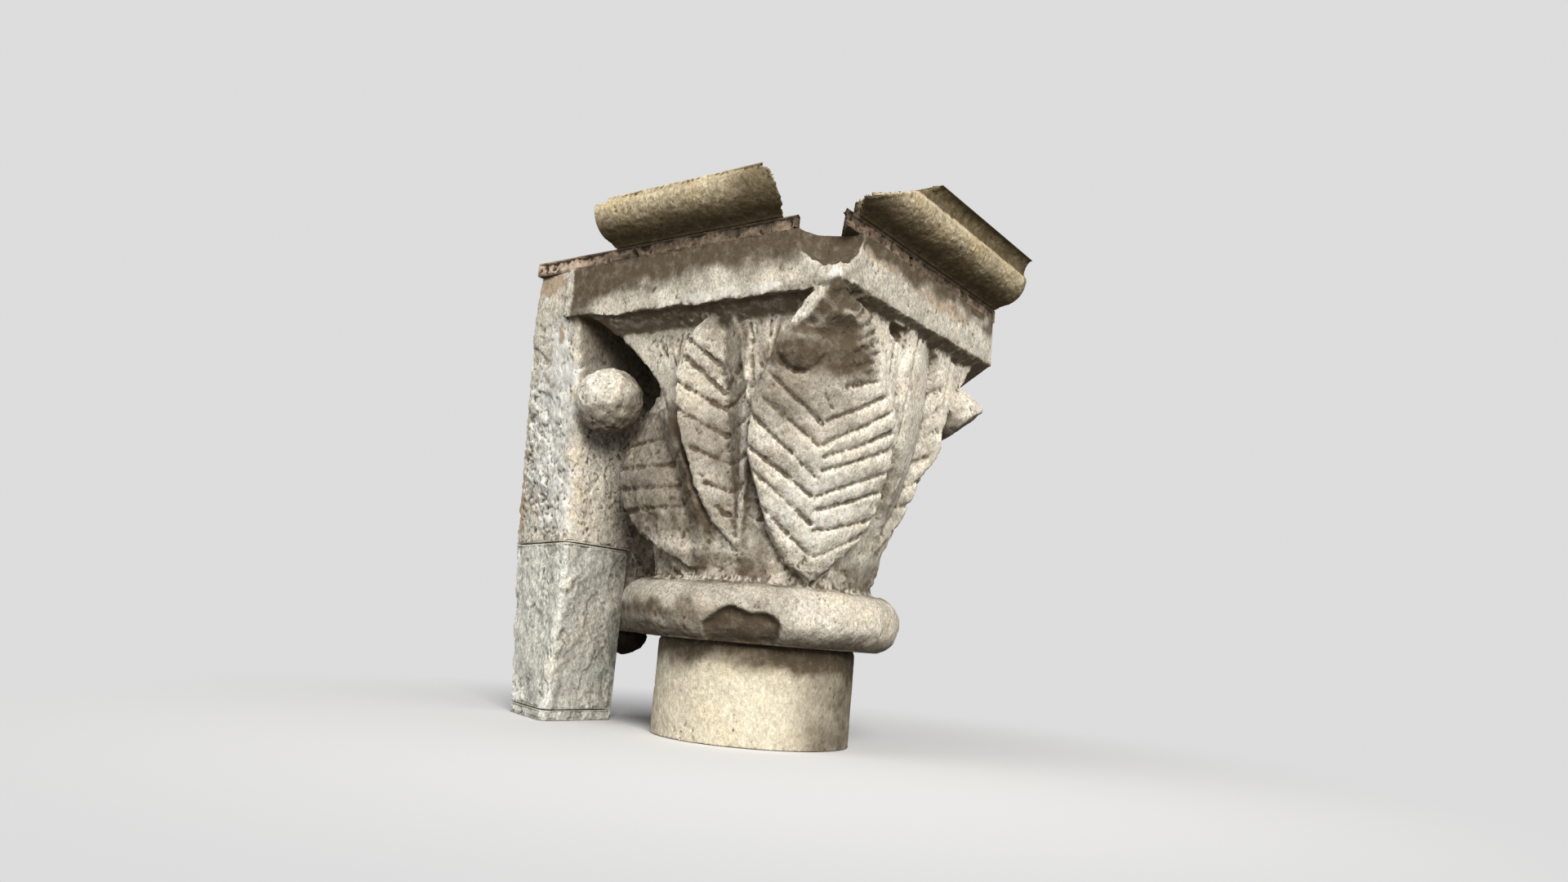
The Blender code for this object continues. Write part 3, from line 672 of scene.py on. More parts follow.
# Metres along the bell for one degree, for the cuts of leaves, straight channels and rounded hollows
CUT_ARC = math.radians(1.0) * 0.13
SCORE_ARC = math.radians(1.0) * 0.125
DISH_ARC = math.radians(1.0) * 0.14

# Middle and half the width in degrees of the flake lost from the ring's lower edge
FLAKE_MIDDLE = -60.0
FLAKE_HALF = 16.0

# Flutes on the webs: angle and height of each end, half the width, and the depth
WEB_FLUTES = (
    ((34.0, 0.196), (41.5, 0.272), 0.0024, 0.0026),
    ((36.5, 0.205), (43.0, 0.262), 0.002, 0.0016),
    ((-12.0, 0.206), (-7.5, 0.262), 0.0022, 0.0018),
    ((30.5, 0.225), (33.5, 0.268), 0.0022, 0.0022),
)

# Rounded hollows: angle and height of the middle, half the breadth and half the height, the
# depth, which is negative where the stone stands up, the turn in degrees, and how steep the rim is
WEB_POCKETS = (
    ((-7.0, 0.2705), (0.024, 0.0032), -0.0042, 0.0, 2.4),
    ((-8.5, 0.2620), (0.0135, 0.0058), 0.010, -14.0, 2.4),
    ((37.2, 0.268), (0.011, 0.0048), 0.007, 4.0, 2.2),
)
BALL_SCAR = ((-48.4, 0.2250), (0.0200, 0.0172), -0.0052, -12.0, 1.4)
HOOD_HOLLOWS = (
    ((-37.0, 0.2395), (0.0180, 0.0120), 0.0044, 12.0, 1.6),
    ((-38.6, 0.2630), (0.0165, 0.0098), 0.0042, 0.0, 1.4),
    ((-37.0, 0.2520), (0.0150, 0.0028), -0.0012, 8.0, 1.2),
    ((-28.4, 0.2500), (0.0100, 0.0022), -0.0014, 35.0, 1.5),
    ((-27.0, 0.2400), (0.0090, 0.0030), 0.0020, 30.0, 1.3),
    ((-24.6, 0.2320), (0.0090, 0.0024), 0.0018, 25.0, 1.3),
    ((-33.0, 0.2240), (0.0110, 0.0050), 0.0016, 20.0, 1.2),
)

# Torn layers at the right of the hood, and the rolled rim and its groove beside the middle leaf
HOOD_STRATA = (
    ((-34.0, 0.2529), (-27.3, 0.2728)), ((-33.0, 0.2448), (-23.9, 0.2645)),
    ((-31.9, 0.2371), (-21.8, 0.2569)), ((-32.3, 0.2272), (-19.9, 0.2482)),
)
LEAF_RIM = (
    (-71.0, 0.2500), (-69.8, 0.2370), (-69.0, 0.2210), (-66.4, 0.2060), (-65.4, 0.1900), (-65.0, 0.1600),
)
RIM_GROOVE = ((-66.2, 0.2400), (-65.2, 0.2220), (-63.4, 0.2010))


@dataclass
class CarvedBell:
    """The bell with its leaves, from its bed up into the slab, as one deep relief round the shaft."""

    sides: int = 1180
    courses: tuple = (19, 20)
    neck_radius: float = 0.0956
    belly_radius: float = 0.1055
    web_front: float = 0.106
    web_side: float = 0.1295
    recess_radius: float = 0.106
    back_end: float = 1.745
    top: float = 0.283
    astragal_height: float = 0.0485
    astragal_radius: float = 0.1218
    astragal_core: float = 0.097
    left_arris: tuple = (-0.033, 0.175, -0.128, 0.2735, 1.6)
    right_arris: tuple = (0.0743, 0.194, 0.138, 0.279, 1.3)
    leaves: tuple = (
        LEFT_CORNER_LEAF, LEFT_MIDDLE_LEAF, RIGHT_CORNER_LEAF, RIGHT_BLADE, RIGHT_MIDDLE_LEAF, FRONT_LEAF,
    )
    degrees: Points = field(default=None, repr=False)
    height: Points = field(default=None, repr=False)
    radius: Points = field(default=None, repr=False)

    def build(self) -> Object:
        """Carves the bell.

        Returns:
            The closed bell, in its place.
        """
        drum = Bench.drum("bell", self.sides, self.courses, 0.1, BED, BED + self.top)
        at = Bench.points(drum)
        angle = np.arctan2(at[:, 1], at[:, 0])
        height = at[:, 2] - BED
        shell = np.stack([np.cos(angle) * 0.13, np.sin(angle) * 0.13, height], 1)
        sway = StoneNoise.layers(shell, 0.016, 71, 3) * 0.0008
        rise = StoneNoise.layers(shell, 0.014, 72, 3) * 0.0007
        self.degrees = np.degrees(angle + sway / 0.13)
        self.height = height + rise
        self.radius = self.plain(np.radians(self.degrees), self.height)
        self.carve_webs()
        for leaf in self.leaves:
            self.lay(leaf)
        self.finish_front()
        self.lay_astragal(height, angle)
        Bench.place(drum, np.stack([self.radius * np.cos(angle), self.radius * np.sin(angle), at[:, 2]], 1))
        return drum

    def arris(self, height: Points, line: tuple) -> Points:
        """How far along its face a horn's arris lies at each height."""
        foot, low, top, high, curve = line
        rise = np.clip((height - low) / (high - low), 0.0, 1.5)
        return foot + (top - foot) * rise**curve

    def plain(self, angle: Points, height: Points) -> Points:
        """The bell behind the leaves: round below, squared above, hollowed behind the horns.

        Args:
            angle: angles round the shaft in radians.
            height: heights above the capital's bed.

        Returns:
            The radius at each place.
        """
        swell = rising(height, 0.05, 0.08)
        round_part = self.neck_radius + (self.belly_radius - self.neck_radius) * swell
        squared = np.minimum(self.web_front / np.maximum(-np.sin(angle), 0.05),
                             self.web_side / np.maximum(np.cos(angle), 0.05))
        squared = np.minimum(squared, NOOK_FACE / np.maximum(-np.cos(angle), 0.05))
        squared = np.minimum(squared, ABACUS_END / np.maximum(np.sin(angle), 0.05))
        radius = round_part + (squared - round_part) * rising(height, 0.115, 0.07)
        left = np.arctan2(-self.web_front, self.arris(height, self.left_arris))
        right = np.arctan2(self.arris(height, self.right_arris), self.web_side)
        past_left = smooth_step((left - angle) * self.belly_radius / 0.003) * rising(height, 0.115, 0.02)
        past_right = smooth_step((angle - right) * self.belly_radius / 0.003) * rising(height, 0.15, 0.03)
        hollow = np.maximum(past_left, past_right * (angle < self.back_end))
        return radius + (self.recess_radius - radius) * hollow

    def lay(self, leaf: Leaf) -> None:
        """Lays one leaf over what is below it, with its cuts and the soft fillets between them."""
        degrees, height = self.degrees, self.height
        near = (height > leaf.heights[0]) & (height < leaf.heights[-1])
        near &= (degrees > min(leaf.left) - 6.0) & (degrees < max(leaf.right) + 6.0)
        index = np.flatnonzero(near)
        degrees, height = degrees[index], height[index]
        left, rib, right = (leaf.at(v, height) for v in (leaf.left, leaf.rib, leaf.right))
        rib_radius = leaf.at(leaf.rib_radius, height)
        on_left = degrees < rib
        left_share = (rib - degrees) / np.maximum(rib - left, 0.1)
        right_share = (degrees - rib) / np.maximum(right - rib, 0.1)
        across = np.clip(np.where(on_left, left_share, right_share), 0.0, 1.0)
        margin = np.where(on_left, leaf.at(leaf.left_radius, height), leaf.at(leaf.right_radius, height))
        face = rib_radius + (margin - rib_radius) * across
        face -= self.cuts_of(leaf, degrees, height, on_left)
        beyond = np.where(on_left, left - degrees, degrees - right)
        gone = np.radians(beyond) * rib_radius
        inside = 1.0 - smooth_step(gone / leaf.edge + 0.3)
        face -= 0.0016 * smooth_step(1.0 + gone / 0.004)
        base = self.radius[index]
        self.radius[index] = base + (face - base) * inside

    def cuts_of(self, leaf: Leaf, degrees: Points, height: Points, on_left: Points) -> Points:
        """Depth of a leaf's cuts and of the falls of its fillets towards them.

        Args:
            leaf: the leaf.
            degrees: angles of the places.
            height: heights of the places.
            on_left: True where a place is left of the midrib.

        Returns:
            How far each place is sunk, in metres.
        """
        nearest = np.full(len(degrees), 1.0)
        depth = np.zeros(len(degrees))
        for number, ((from_angle, from_height), (to_angle, to_height)) in enumerate(leaf.cuts):
            run = (to_angle - from_angle) * CUT_ARC
            rise = to_height - from_height
            px = (degrees - from_angle) * CUT_ARC
            py = height - from_height
            share = np.clip((px * run + py * rise) / (run * run + rise * rise), -0.01, 1.0)
            sag = 0.0012 * np.sin(math.pi * np.clip(share, 0.0, 1.0)) * (1.0 if number % 3 else 0.4)
            away = np.hypot(px - share * run, py - share * rise + sag)
            side = (to_angle < from_angle) == on_left
            away = np.where(side, away, away + 0.004)
            nearest = np.minimum(nearest, away)
            strength = 0.9 + 0.18 * math.sin(number * 2.4 + 1.0) + 0.12 * np.sin(share * 5.0 + number)
            depth = np.maximum(depth, strength * np.clip(1.0 - away / leaf.cut_width, 0.0, 1.0) ** 0.8)
        fall = np.exp(-nearest / 0.0024)
        return leaf.cut_depth * depth + leaf.pillow * fall

    def score(self, start: tuple, end: tuple, width: float, depth: float) -> None:
        """Sinks one straight channel into the relief.

        Args:
            start: angle in degrees and height of its first end.
            end: angle in degrees and height of its other end.
            width: half its width in metres.
            depth: its depth in metres, or how far it stands up when negative.
        """
        run = (end[0] - start[0]) * SCORE_ARC
        rise = end[1] - start[1]
        px = (self.degrees - start[0]) * SCORE_ARC
        py = self.height - start[1]
        share = np.clip((px * run + py * rise) / (run * run + rise * rise), 0.0, 1.0)
        away = np.hypot(px - share * run, py - share * rise)
        self.radius -= depth * smooth_step(1.0 - away / width)

    def dish(self, centre: tuple, radii: tuple, depth: float, turn: float, crisp: float) -> None:
        """Sinks, or raises when the depth is negative, a rounded area of the relief.

        Args:
            centre: angle in degrees and height of its middle.
            radii: half its breadth and half its height in metres.
            depth: its depth in metres.
            turn: how far it is turned in degrees.
            crisp: how steep its rim is.
        """
        px = (self.degrees - centre[0]) * DISH_ARC
        py = self.height - centre[1]
        cos, sin = math.cos(math.radians(turn)), math.sin(math.radians(turn))
        away = np.hypot((px * cos + py * sin) / radii[0], (py * cos - px * sin) / radii[1])
        self.radius -= depth * smooth_step((1.0 - away) * crisp)

    def carve_webs(self) -> None:
        """Flutes and pockets on the plain bell between the leaves."""
        for number in range(6):
            uneven = math.sin(number * 2.3)
            foot = (-109.0 + number * 0.7, 0.2236 + 0.003 * uneven)
            self.score(foot, (-118.0 + number * 4.0 + uneven, 0.251), 0.0026, 0.0019 + 0.0006 * uneven)
        for number in range(5):
            uneven = math.sin(number * 1.9 + 1.0)
            foot = (-62.0 + number * 0.9, 0.217 + 0.005 * uneven)
            self.score(foot, (-68.5 + number * 3.3 + uneven, 0.254), 0.0025, 0.0022 + 0.0006 * uneven)
        for start, end, width, depth in WEB_FLUTES:
            self.score(start, end, width, depth)
        for pocket in WEB_POCKETS:
            self.dish(*pocket)

    def finish_front(self) -> None:
        """The battered hood: the scar of its lost ball, the breaks round it and the stalk at the tip."""
        turn = np.radians(self.degrees)
        limit = np.minimum(
            (ABACUS_FRONT - 0.0004) / np.maximum(-np.sin(turn), 0.05),
            (ABACUS_SIDE - 0.0004) / np.maximum(np.cos(turn), 0.05),
        )
        self.radius = np.minimum(self.radius, limit)
        self.dish(*BALL_SCAR)
        turns = [math.radians(62.0 - 14.0 * step) for step in range(18)]
        crack = [
            (-48.2 + 6.9 * math.cos(t) + 0.3 * math.sin(9.0 * t), 0.2250 + 0.0164 * math.sin(t))
            for t in turns
        ]
        for step, (start, end) in enumerate(zip(crack, crack[1:])):
            self.score(start, end, 0.0012 + 0.0016 * (9 < step < 16), 0.0028)
        for start, end in HOOD_STRATA:
            self.score(start, end, 0.0019, 0.0024)
        self.score((-52.4, 0.2390), (-46.0, 0.2440), 0.0034, 0.0030)
        for hollow in HOOD_HOLLOWS:
            self.dish(*hollow)
        self.score((-39.5, 0.193), (-36.5, 0.184), 0.0018, 0.0026)
        self.score((-33.5, 0.058), (-33.0, 0.044), 0.0035, -0.004)
        self.dish((-65.5, 0.067), (0.0032, 0.0034), -0.0045, 0.0, 1.6)
        for start, end in zip(LEAF_RIM, LEAF_RIM[1:]):
            self.score(start, end, 0.0036, -0.0030)
        for start, end in zip(RIM_GROOVE, RIM_GROOVE[1:]):
            self.score(start, end, 0.0022, 0.0034)

    def lay_astragal(self, height: Points, angle: Points) -> None:
        """Wraps the worn ring round the neck, with the flake lost from its lower edge.

        Args:
            height: true heights of the places.
            angle: true angles of the places.
        """
        degrees = np.degrees(angle)
        ripple = 0.0009 * np.sin(angle * 3.0 + 0.4) + 0.0006 * np.sin(angle * 7.0)
        middle = self.astragal_height / 2
        lift = np.clip((height + ripple - middle) / middle, -1.0, 1.0)
        bulge = (1.0 - np.abs(lift) ** 2.2) ** 0.5
        ring = self.astragal_core + (self.astragal_radius - self.astragal_core) * bulge
        ring = np.where(height < self.astragal_height, ring, 0.0)
        spread = (degrees - FLAKE_MIDDLE) / FLAKE_HALF
        low = 0.027 - 0.012 * spread**2 + 0.0022 * np.cos(np.radians(degrees * 22.0))
        broken = smooth_step((1.0 - spread**2) * 3.0) * smooth_step((low - height) / 0.003)
        ring -= 0.0095 * broken
        nick = (degrees + 103.0) / 5.0
        ring -= 0.003 * smooth_step(1.0 - nick**2) * falling(height, 0.012, 0.004)
        self.radius = np.maximum(self.radius, ring)


@dataclass
class Stonework:
    """What every stone goes through once its forms are made: one skin, then wear, then marks."""

    name: str = "stone"
    triangles: int = 60000
    grain: float = 0.0012
    wear: Wear = Wear()

    def forms(self) -> list:
        """The overlapping forms that the stone is made of."""
        raise NotImplementedError

    def build(self) -> Object:
        """Builds, weathers and marks the stone.

        Returns:
            The finished stone.
        """
        piece = Bench.fused(self.name, self.forms(), self.grain * (1.0))
        self.wear.apply(piece, self.hidden, self.roughness)
        StoneMarks.hollows(piece)
        Bench.thinned(piece, self.triangles)
        Bench.place(piece, np.clip(Bench.points(piece), *CAD_BOX))
        # Dirt and painted shade, and below zero the places where the painted shade of shelter is lifted
        dirt_and_shade = self.dirt_and_shade(Bench.points(piece), Bench.normals(piece))
        StoneMarks.keep(piece, "dirty_and_shaded", dirt_and_shade)
        StoneMarks.keep(piece, "shade_lifted", -dirt_and_shade)
        for seed, (mark, spots) in enumerate(self.stains().items()):
            StoneMarks.patches(piece, mark, spots, seed + 5)
        Bench.pick(piece)
        bpy.ops.object.shade_smooth()
        return piece

    def hidden(self, at: Points) -> Points:
        """1 where a face was cut flat or meets a bed, so that it isn't weathered."""
        return np.zeros(len(at))

    def roughness(self, at: Points) -> Points:
        """How rough each place is, 1 being the usual."""
        return np.ones(len(at))

    def dirt_and_shade(self, at: Points, out: Points) -> Points:
        """Dirt and painted shade beyond what lies in the cuts, up to 1, or down to -1 where the painted shade
        of shelter is lifted.
        """
        return np.zeros(len(at))

    def stains(self) -> dict:
        """Patches of lime and ochre: centre, radii and strength of each."""
        return {}


@dataclass(frozen=True)
class Place:
    """Where each point of the capital lies, with heights up from its bed."""

    x: Points
    y: Points
    z: Points
    radius: Points
    degrees: Points

    @classmethod
    def of(cls, at: Points) -> "Place":
        """Works it out from the points themselves."""
        x, y = at[:, 0], at[:, 1]
        return cls(x, y, at[:, 2] - BED, np.hypot(x, y), np.degrees(np.arctan2(y, x)))


@dataclass(frozen=True)
class Zone:
    """A part of the capital's skin, picked by where it lies, and how strong a mark is there.

    Each bound is where its edge starts and how wide it fades. The turn is in degrees round the
    shaft, the height is over the capital's bed, and the radius is from the shaft's axis.
    """

    strength: float = 1.0
    swing: float = 0.0
    turn_from: tuple = ()
    turn_to: tuple = ()
    above: tuple = ()
    below: tuple = ()
    right_of: tuple = ()
    left_of: tuple = ()
    behind: tuple = ()
    before: tuple = ()
    outside: tuple = ()
    inside: tuple = ()

    def share(self, place: Place, ragged: Points | float = 0.0) -> Points:
        """How strong the mark is at each place.

        Args:
            place: where the points lie.
            ragged: irregularity that the swing takes up.

        Returns:
            The strength inside the zone, fading to 0 outside it.
        """
        total = self.strength + self.swing * ragged
        for values, start, end in (
            (place.degrees, self.turn_from, self.turn_to), (place.z, self.above, self.below),
            (place.x, self.right_of, self.left_of), (place.y, self.behind, self.before),
            (place.radius, self.outside, self.inside),
        ):
            if start:
                total = total * rising(values, *start)
            if end:
                total = total * falling(values, *end)
        return total


# Edges that several zones share: where the nook ends and the top of the ring
OUT_OF_NOOK = (-0.13, SHARP)
RING_TOP = (0.05, SHARP)

# Zones where painted shade and dirt are laid on the capital; the hood's zone also sets its roughness
HOOD = Zone(turn_from=(-58.5, 3.0), turn_to=(-20.0, 8.0), above=(0.203, 0.018), below=(0.277, 0.004))
UNDER_HOOD = Zone(0.45, turn_from=(-64.0, 3.0), turn_to=(-20.0, 12.0), below=(0.24, 0.02),
                  outside=(0.12, SHARP))
LEAF_VALLEY = Zone(0.3, turn_to=(-66.0, 2.0), above=(0.075, 0.02), below=(0.26, 0.01), right_of=OUT_OF_NOOK)
LEAF_STRIP = Zone(0.26, 0.1, above=(0.085, 0.02), below=(0.2, 0.012), right_of=OUT_OF_NOOK)
LEAF_BESIDE = Zone(0.16, above=RING_TOP, below=(0.2, 0.012), right_of=(-0.128, SHARP))
RING_LEFT = Zone(0.6, turn_to=(-62.0, 20.0), below=(0.0485, SHARP), right_of=OUT_OF_NOOK,
                 outside=(0.1, SHARP))
RING_FLAKE = Zone(inside=(0.1185, 0.003), below=(0.028, SHARP))
UNDER_SLAB = Zone(0.85, above=(0.245, 0.012), below=(0.278, SHARP))
SLAB_LEFT = Zone(right_of=(-0.152, 0.012), left_of=(0.112, 0.02), before=(-0.12, SHARP))
SLAB_RIGHT = Zone(0.75, right_of=(0.136, SHARP), behind=(-0.12, 0.05))

DIRT_AND_SHADE_ZONES = (
    # Painted shade on the left half of the front leaf, the side turned from the light
    Zone(0.14, turn_from=(-66.0, 2.0), turn_to=(-42.0, 6.0), above=(0.1, 0.02), below=(0.215, 0.02),
         outside=(0.115, SHARP)),
    # Painted shade on the neck under the bell, a little more on the left
    Zone(0.3, 0.18, above=(0.042, 0.006), below=(0.08, 0.016), inside=(0.115, SHARP)),
    Zone(0.05, turn_from=(-175.0, SHARP), turn_to=(-66.0, 8.0), above=(0.042, 0.006), below=(0.08, 0.016),
         right_of=OUT_OF_NOOK, inside=(0.115, SHARP)),
    # Painted shade at the foot of the left face, and a painted shadow between its middle leaf and the front
    # leaf
    Zone(0.08, 0.1, turn_from=(-175.0, SHARP), turn_to=(-66.0, 8.0), above=RING_TOP, below=(0.15, 0.07),
         right_of=OUT_OF_NOOK),
    Zone(0.5, 0.15, turn_from=(-71.0, 8.0), turn_to=(-48.0, 8.0), above=(0.052, SHARP), below=(0.145, 0.02),
         inside=(0.1135, SHARP)),
    # Painted shade on the top of the ring under the bell, more on the left
    Zone(0.22, 0.13, above=(0.01, 0.02), below=RING_TOP, right_of=OUT_OF_NOOK, outside=(0.1, SHARP)),
    Zone(0.26, turn_to=(-30.0, 30.0), above=(0.01, 0.02), below=RING_TOP, right_of=OUT_OF_NOOK,
         outside=(0.1, SHARP)),
    # The slab darkened overall, and painted shade in the corner at its left end by the jamb
    Zone(0.132, 0.06, above=(0.268, 0.004)),
    Zone(0.198, 0.09, above=(0.268, 0.004), right_of=(-0.154, 0.012)),
    Zone(0.42, above=(0.266, SHARP), right_of=(-0.15, SHARP), left_of=(-0.105, 0.03), before=(-0.115, SHARP)),
    # Painted shade on the left face and its middle leaf, less towards the top, and on the web beside it
    Zone(0.492, 0.12, turn_to=(-66.0, 3.0), above=(0.07, 0.02), below=(0.262, SHARP), right_of=OUT_OF_NOOK),
    Zone(-0.1722, -0.042, turn_to=(-66.0, 3.0), above=(0.17, 0.03), below=(0.262, SHARP),
         right_of=OUT_OF_NOOK),
    Zone(0.4, turn_from=(-66.0, 2.0), turn_to=(-57.0, 4.0), above=(0.2, SHARP), below=(0.262, SHARP)),
    # Painted shade on the right face, low down where it turns from the light, and high up
    Zone(0.32, turn_from=(-20.0, 9.0), above=RING_TOP, below=(0.165, 0.035), before=(0.11, SHARP)),
    Zone(0.14, turn_from=(-14.0, 6.0), above=(0.15, 0.03), below=(0.272, SHARP), right_of=(0.09, 0.02)),
    # Less painted shade: at the foot of the front leaf, which is lit from low in front, and in the recess
    # behind the left horn
    Zone(-0.5, turn_from=(-64.0, 4.0), turn_to=(-6.0, 4.0), above=(0.06, SHARP), below=(0.15, 0.05),
         outside=(0.1, SHARP)),
    Zone(-1.2, turn_to=(-112.0, 6.0), above=(0.19, SHARP), below=(0.27, SHARP), right_of=OUT_OF_NOOK,
         inside=(0.114, SHARP)),
)

ROUGH_ZONES = (
    # The jamb, and most where its left edge is torn
    Zone(0.2, below=(0.3, 0.05), left_of=(-0.128, 0.012)),
    Zone(0.7, below=(0.27, 0.03), left_of=(-0.175, 0.02)),
    # The neck
    Zone(1.0, above=(0.045, 0.004), below=(0.075, 0.02), inside=(0.115, SHARP)),
    # The left face, its corner and its foot
    Zone(0.28, turn_to=(-64.0, 3.0), above=RING_TOP, below=(0.27, SHARP), right_of=OUT_OF_NOOK),
    Zone(0.6, above=RING_TOP, below=(0.2, 0.03), left_of=(-0.03, 0.04)),
    Zone(0.5, turn_to=(-48.0, 6.0), above=RING_TOP, below=(0.135, 0.03), right_of=OUT_OF_NOOK),
    # The slab
    Zone(0.1, above=(0.262, 0.006)),
)


@dataclass
class CapitalStone(Stonework):
    """The capital: bell, slab, corner balls, the return that forms the jamb, and the tail in the wall."""

    name: str = "carved_capital"
    triangles: int = 194000
    grain: float = 0.00105
    wear: Wear = Wear(lumps=0.0011, lump_size=0.013, grain=0.00065, grain_size=0.0044, pits=0.0014,
                      pit_size=0.005, pit_rarity=0.72, flakes=0.0009, seed=3)
    chamfer_down: float = 0.019
    chamfer_in_front: float = 0.0195
    chamfer_in_side: float = 0.029
    chamfer_back: float = 0.0012
    left_ball: tuple = (-0.111, -0.101, 0.2)
    left_ball_radius: float = 0.0304
    right_ball: tuple = (0.119, 0.115, 0.2225)
    right_ball_radius: float = 0.0273
    right_ball_flats: tuple = ((54.0, 0.0202), (-51.0, 0.0134))
    right_ball_heading: float = 36.0
    arris_foot: float = 0.105
    arris_top: float = 0.1245
    round_foot: float = 0.02
    round_top: float = 0.003
    cut_joint: float = 0.264
    cut_top: float = 0.205
    cut_foot: float = 0.214
    fall_foot: float = 0.4
    fall_top: float = 0.15
    lower_back: float = -0.026
    hood_shade_spots: tuple = ((-37.4, 0.2625, 0.0125, 0.0088, 0.4), (-37.6, 0.2412, 0.0165, 0.0112, 0.5),
                          (-36.0, 0.2170, 0.0140, 0.0080, 0.25), (-48.0, 0.2380, 0.0110, 0.0035, 0.35))
    chip: tuple = ((0.128, -0.122, 0.318), (0.034, 0.026, 0.03))

    def forms(self) -> list:
        """The overlapping forms that the capital is made of."""
        return [
            CarvedBell().build(), self.slab(), self.chamfer(), self.jamb_return(), self.tail(),
            self.carved_ball(), self.worn_ball(),
        ]

    def slab(self) -> Object:
        """The slab, with the hollow broken out of its front corner."""
        low = BED + SLAB_FOOT
        high = BED + CAPITAL_HEIGHT
        start = (-NOOK_FACE - 0.02, -ABACUS_FRONT, low)
        slab = Bench.block("slab", start, (ABACUS_SIDE, ABACUS_END, high), 64)
        at = Bench.points(slab)
        dip = StoneNoise.layers(at * np.array([1.0, 1.0, 0.0]), 0.03, 21, 4, 0.6)
        foot = falling(at[:, 2], low + 0.012, 0.012)
        over_left = falling(at[:, 1], -0.113, 0.006) * rising(at[:, 0], -0.135, 0.05)
        over_left *= falling(at[:, 0], 0.139, 0.02)
        over_right = rising(at[:, 0], 0.13, 0.006)
        at[:, 2] += foot * (over_left * (-0.0048 + 0.0034 * dip) + over_right * (0.0012 + 0.0026 * dip))
        Bench.place(slab, at)
        centre, radii = self.chip
        lump = Bench.ball("chip", (0, 0, 0), 1.0, 4)
        shape = Bench.points(lump)
        shape *= 1.0 + 0.2 * StoneNoise.layers(shape, 0.8, 33, 3)[:, None]
        Bench.place(lump, shape * np.array(radii) + np.array(centre) + np.array([0.0, 0.0, BED]))
        Bench.hollow_out(slab, lump)
        return slab

    def chamfer(self) -> Object:
        """The slope under the slab, in to the bell, as far as the horns."""
        high = BED + SLAB_FOOT + ABACUS_HEIGHT / 4
        low = BED + SLAB_FOOT - self.chamfer_down
        foot, base, top, crown, curve = CarvedBell().left_arris
        end = ABACUS_END - 0.0002
        form = Bench.block("chamfer", (top, -ABACUS_FRONT, low), (ABACUS_SIDE, end, high), 24)
        at = Bench.points(form)
        drop = np.clip((BED + SLAB_FOOT - at[:, 2]) / self.chamfer_down, 0.0, 1.0)
        bottom = foot + (top - foot) * ((low - BED - base) / (crown - base)) ** curve
        across = (at[:, 0] - top) / (ABACUS_SIDE - top)
        left = top + (bottom - top) * drop
        right = ABACUS_SIDE - self.chamfer_back - self.chamfer_in_side * drop
        back = (at[:, 1] + ABACUS_FRONT) / (ABACUS_FRONT + end)
        front = -ABACUS_FRONT + self.chamfer_back + self.chamfer_in_front * drop
        at[:, 0] = left + (right - left) * across
        at[:, 1] = front + (end - front) * back
        Bench.place(form, at)
        return form

    def jamb_return(self) -> Object:
        """The part of the stone that turns into the jamb, above its bed joint."""
        low, high = BED + JAMB_JOINT, BED + CAPITAL_HEIGHT
        form = Bench.block("jamb_return", (0.0, 0.0, low), (1.0, 1.0, high), 48)
        at = Bench.points(form)
        share = (at[:, 2] - low) / (high - low)
        eased = np.minimum(1.0, share**1.5 * 1.25)
        arris = self.arris_foot + (self.arris_top - self.arris_foot) * eased
        rounding = self.round_foot + (self.round_top - self.round_foot) * eased
        cut = self.cut_joint + (self.cut_top - self.cut_joint) * share
        fall = self.fall_foot + (self.fall_top - self.fall_foot) * share
        Bench.place(form, self.jamb_points(at, arris, rounding, cut, fall, ABACUS_END))
        return form

    @staticmethod
    def jamb_points(
        at: Points, arris: Points, rounding: Points, cut: Points, fall: Points, back: float
    ) -> Points:
        """Shapes a unit block into a jamb stone.

        Args:
            at: places in a block that is 1 m square in plan.
            arris: how far forward the nook's arris is at each place.
            rounding: how much that arris is worn round.
            cut: how far left the stone runs.
            fall: how much its face falls back per metre to the left.
            back: how far back it goes.

        Returns:
            The places in the stone.
        """
        left = 1.0 - at[:, 0]
        rest = rounding / (cut - NOOK_FACE)
        kept = 0.35
        spread = np.where(left < kept, left / kept * rest, rest + (left - kept) / (1.0 - kept) * (1.0 - rest))
        run = spread * (cut - NOOK_FACE)
        inner = np.clip(1.0 - run / rounding, 0.0, 1.0)
        front = -arris + fall * run + rounding * (1.0 - np.sqrt(1.0 - inner**2))
        return np.stack([-NOOK_FACE - run, front + (back - front) * at[:, 1], at[:, 2]], 1)

    def tail(self) -> Object:
        """The plain squared back of the stone, bedded in the wall."""
        low, high = BED, BED + CAPITAL_HEIGHT - JOINT
        form = Bench.block("tail", (0.0, self.lower_back + JOINT, low), (1.0, ABACUS_END, high), 30)
        at = Bench.points(form)
        foot = self.cut_foot + (self.cut_joint - self.cut_foot) * BED / (BED + JAMB_JOINT)
        cuts = (foot, self.cut_joint, self.cut_top)
        cut = np.interp(at[:, 2] - BED, (0.0, JAMB_JOINT, CAPITAL_HEIGHT), cuts)
        at[:, 0] = -(cut - 0.0004) * (1.0 - at[:, 0])
        Bench.place(form, at)
        return form

    def carved_ball(self) -> Object:
        """The whole ball under the left corner, slightly flattened."""
        x, y, z = self.left_ball
        ball = Bench.ball("left_ball", (0, 0, 0), self.left_ball_radius, 6)
        at = Bench.points(ball)
        way = at / self.left_ball_radius
        lump = 0.014 * StoneNoise.layers(at, 0.024, 12, 2)
        at *= (1.0 - 0.05 * np.clip(way[:, 2] - 0.3, 0.0, 1.0) + lump)[:, None]
        Bench.place(ball, at + np.array([x, y, z + BED]))
        return ball

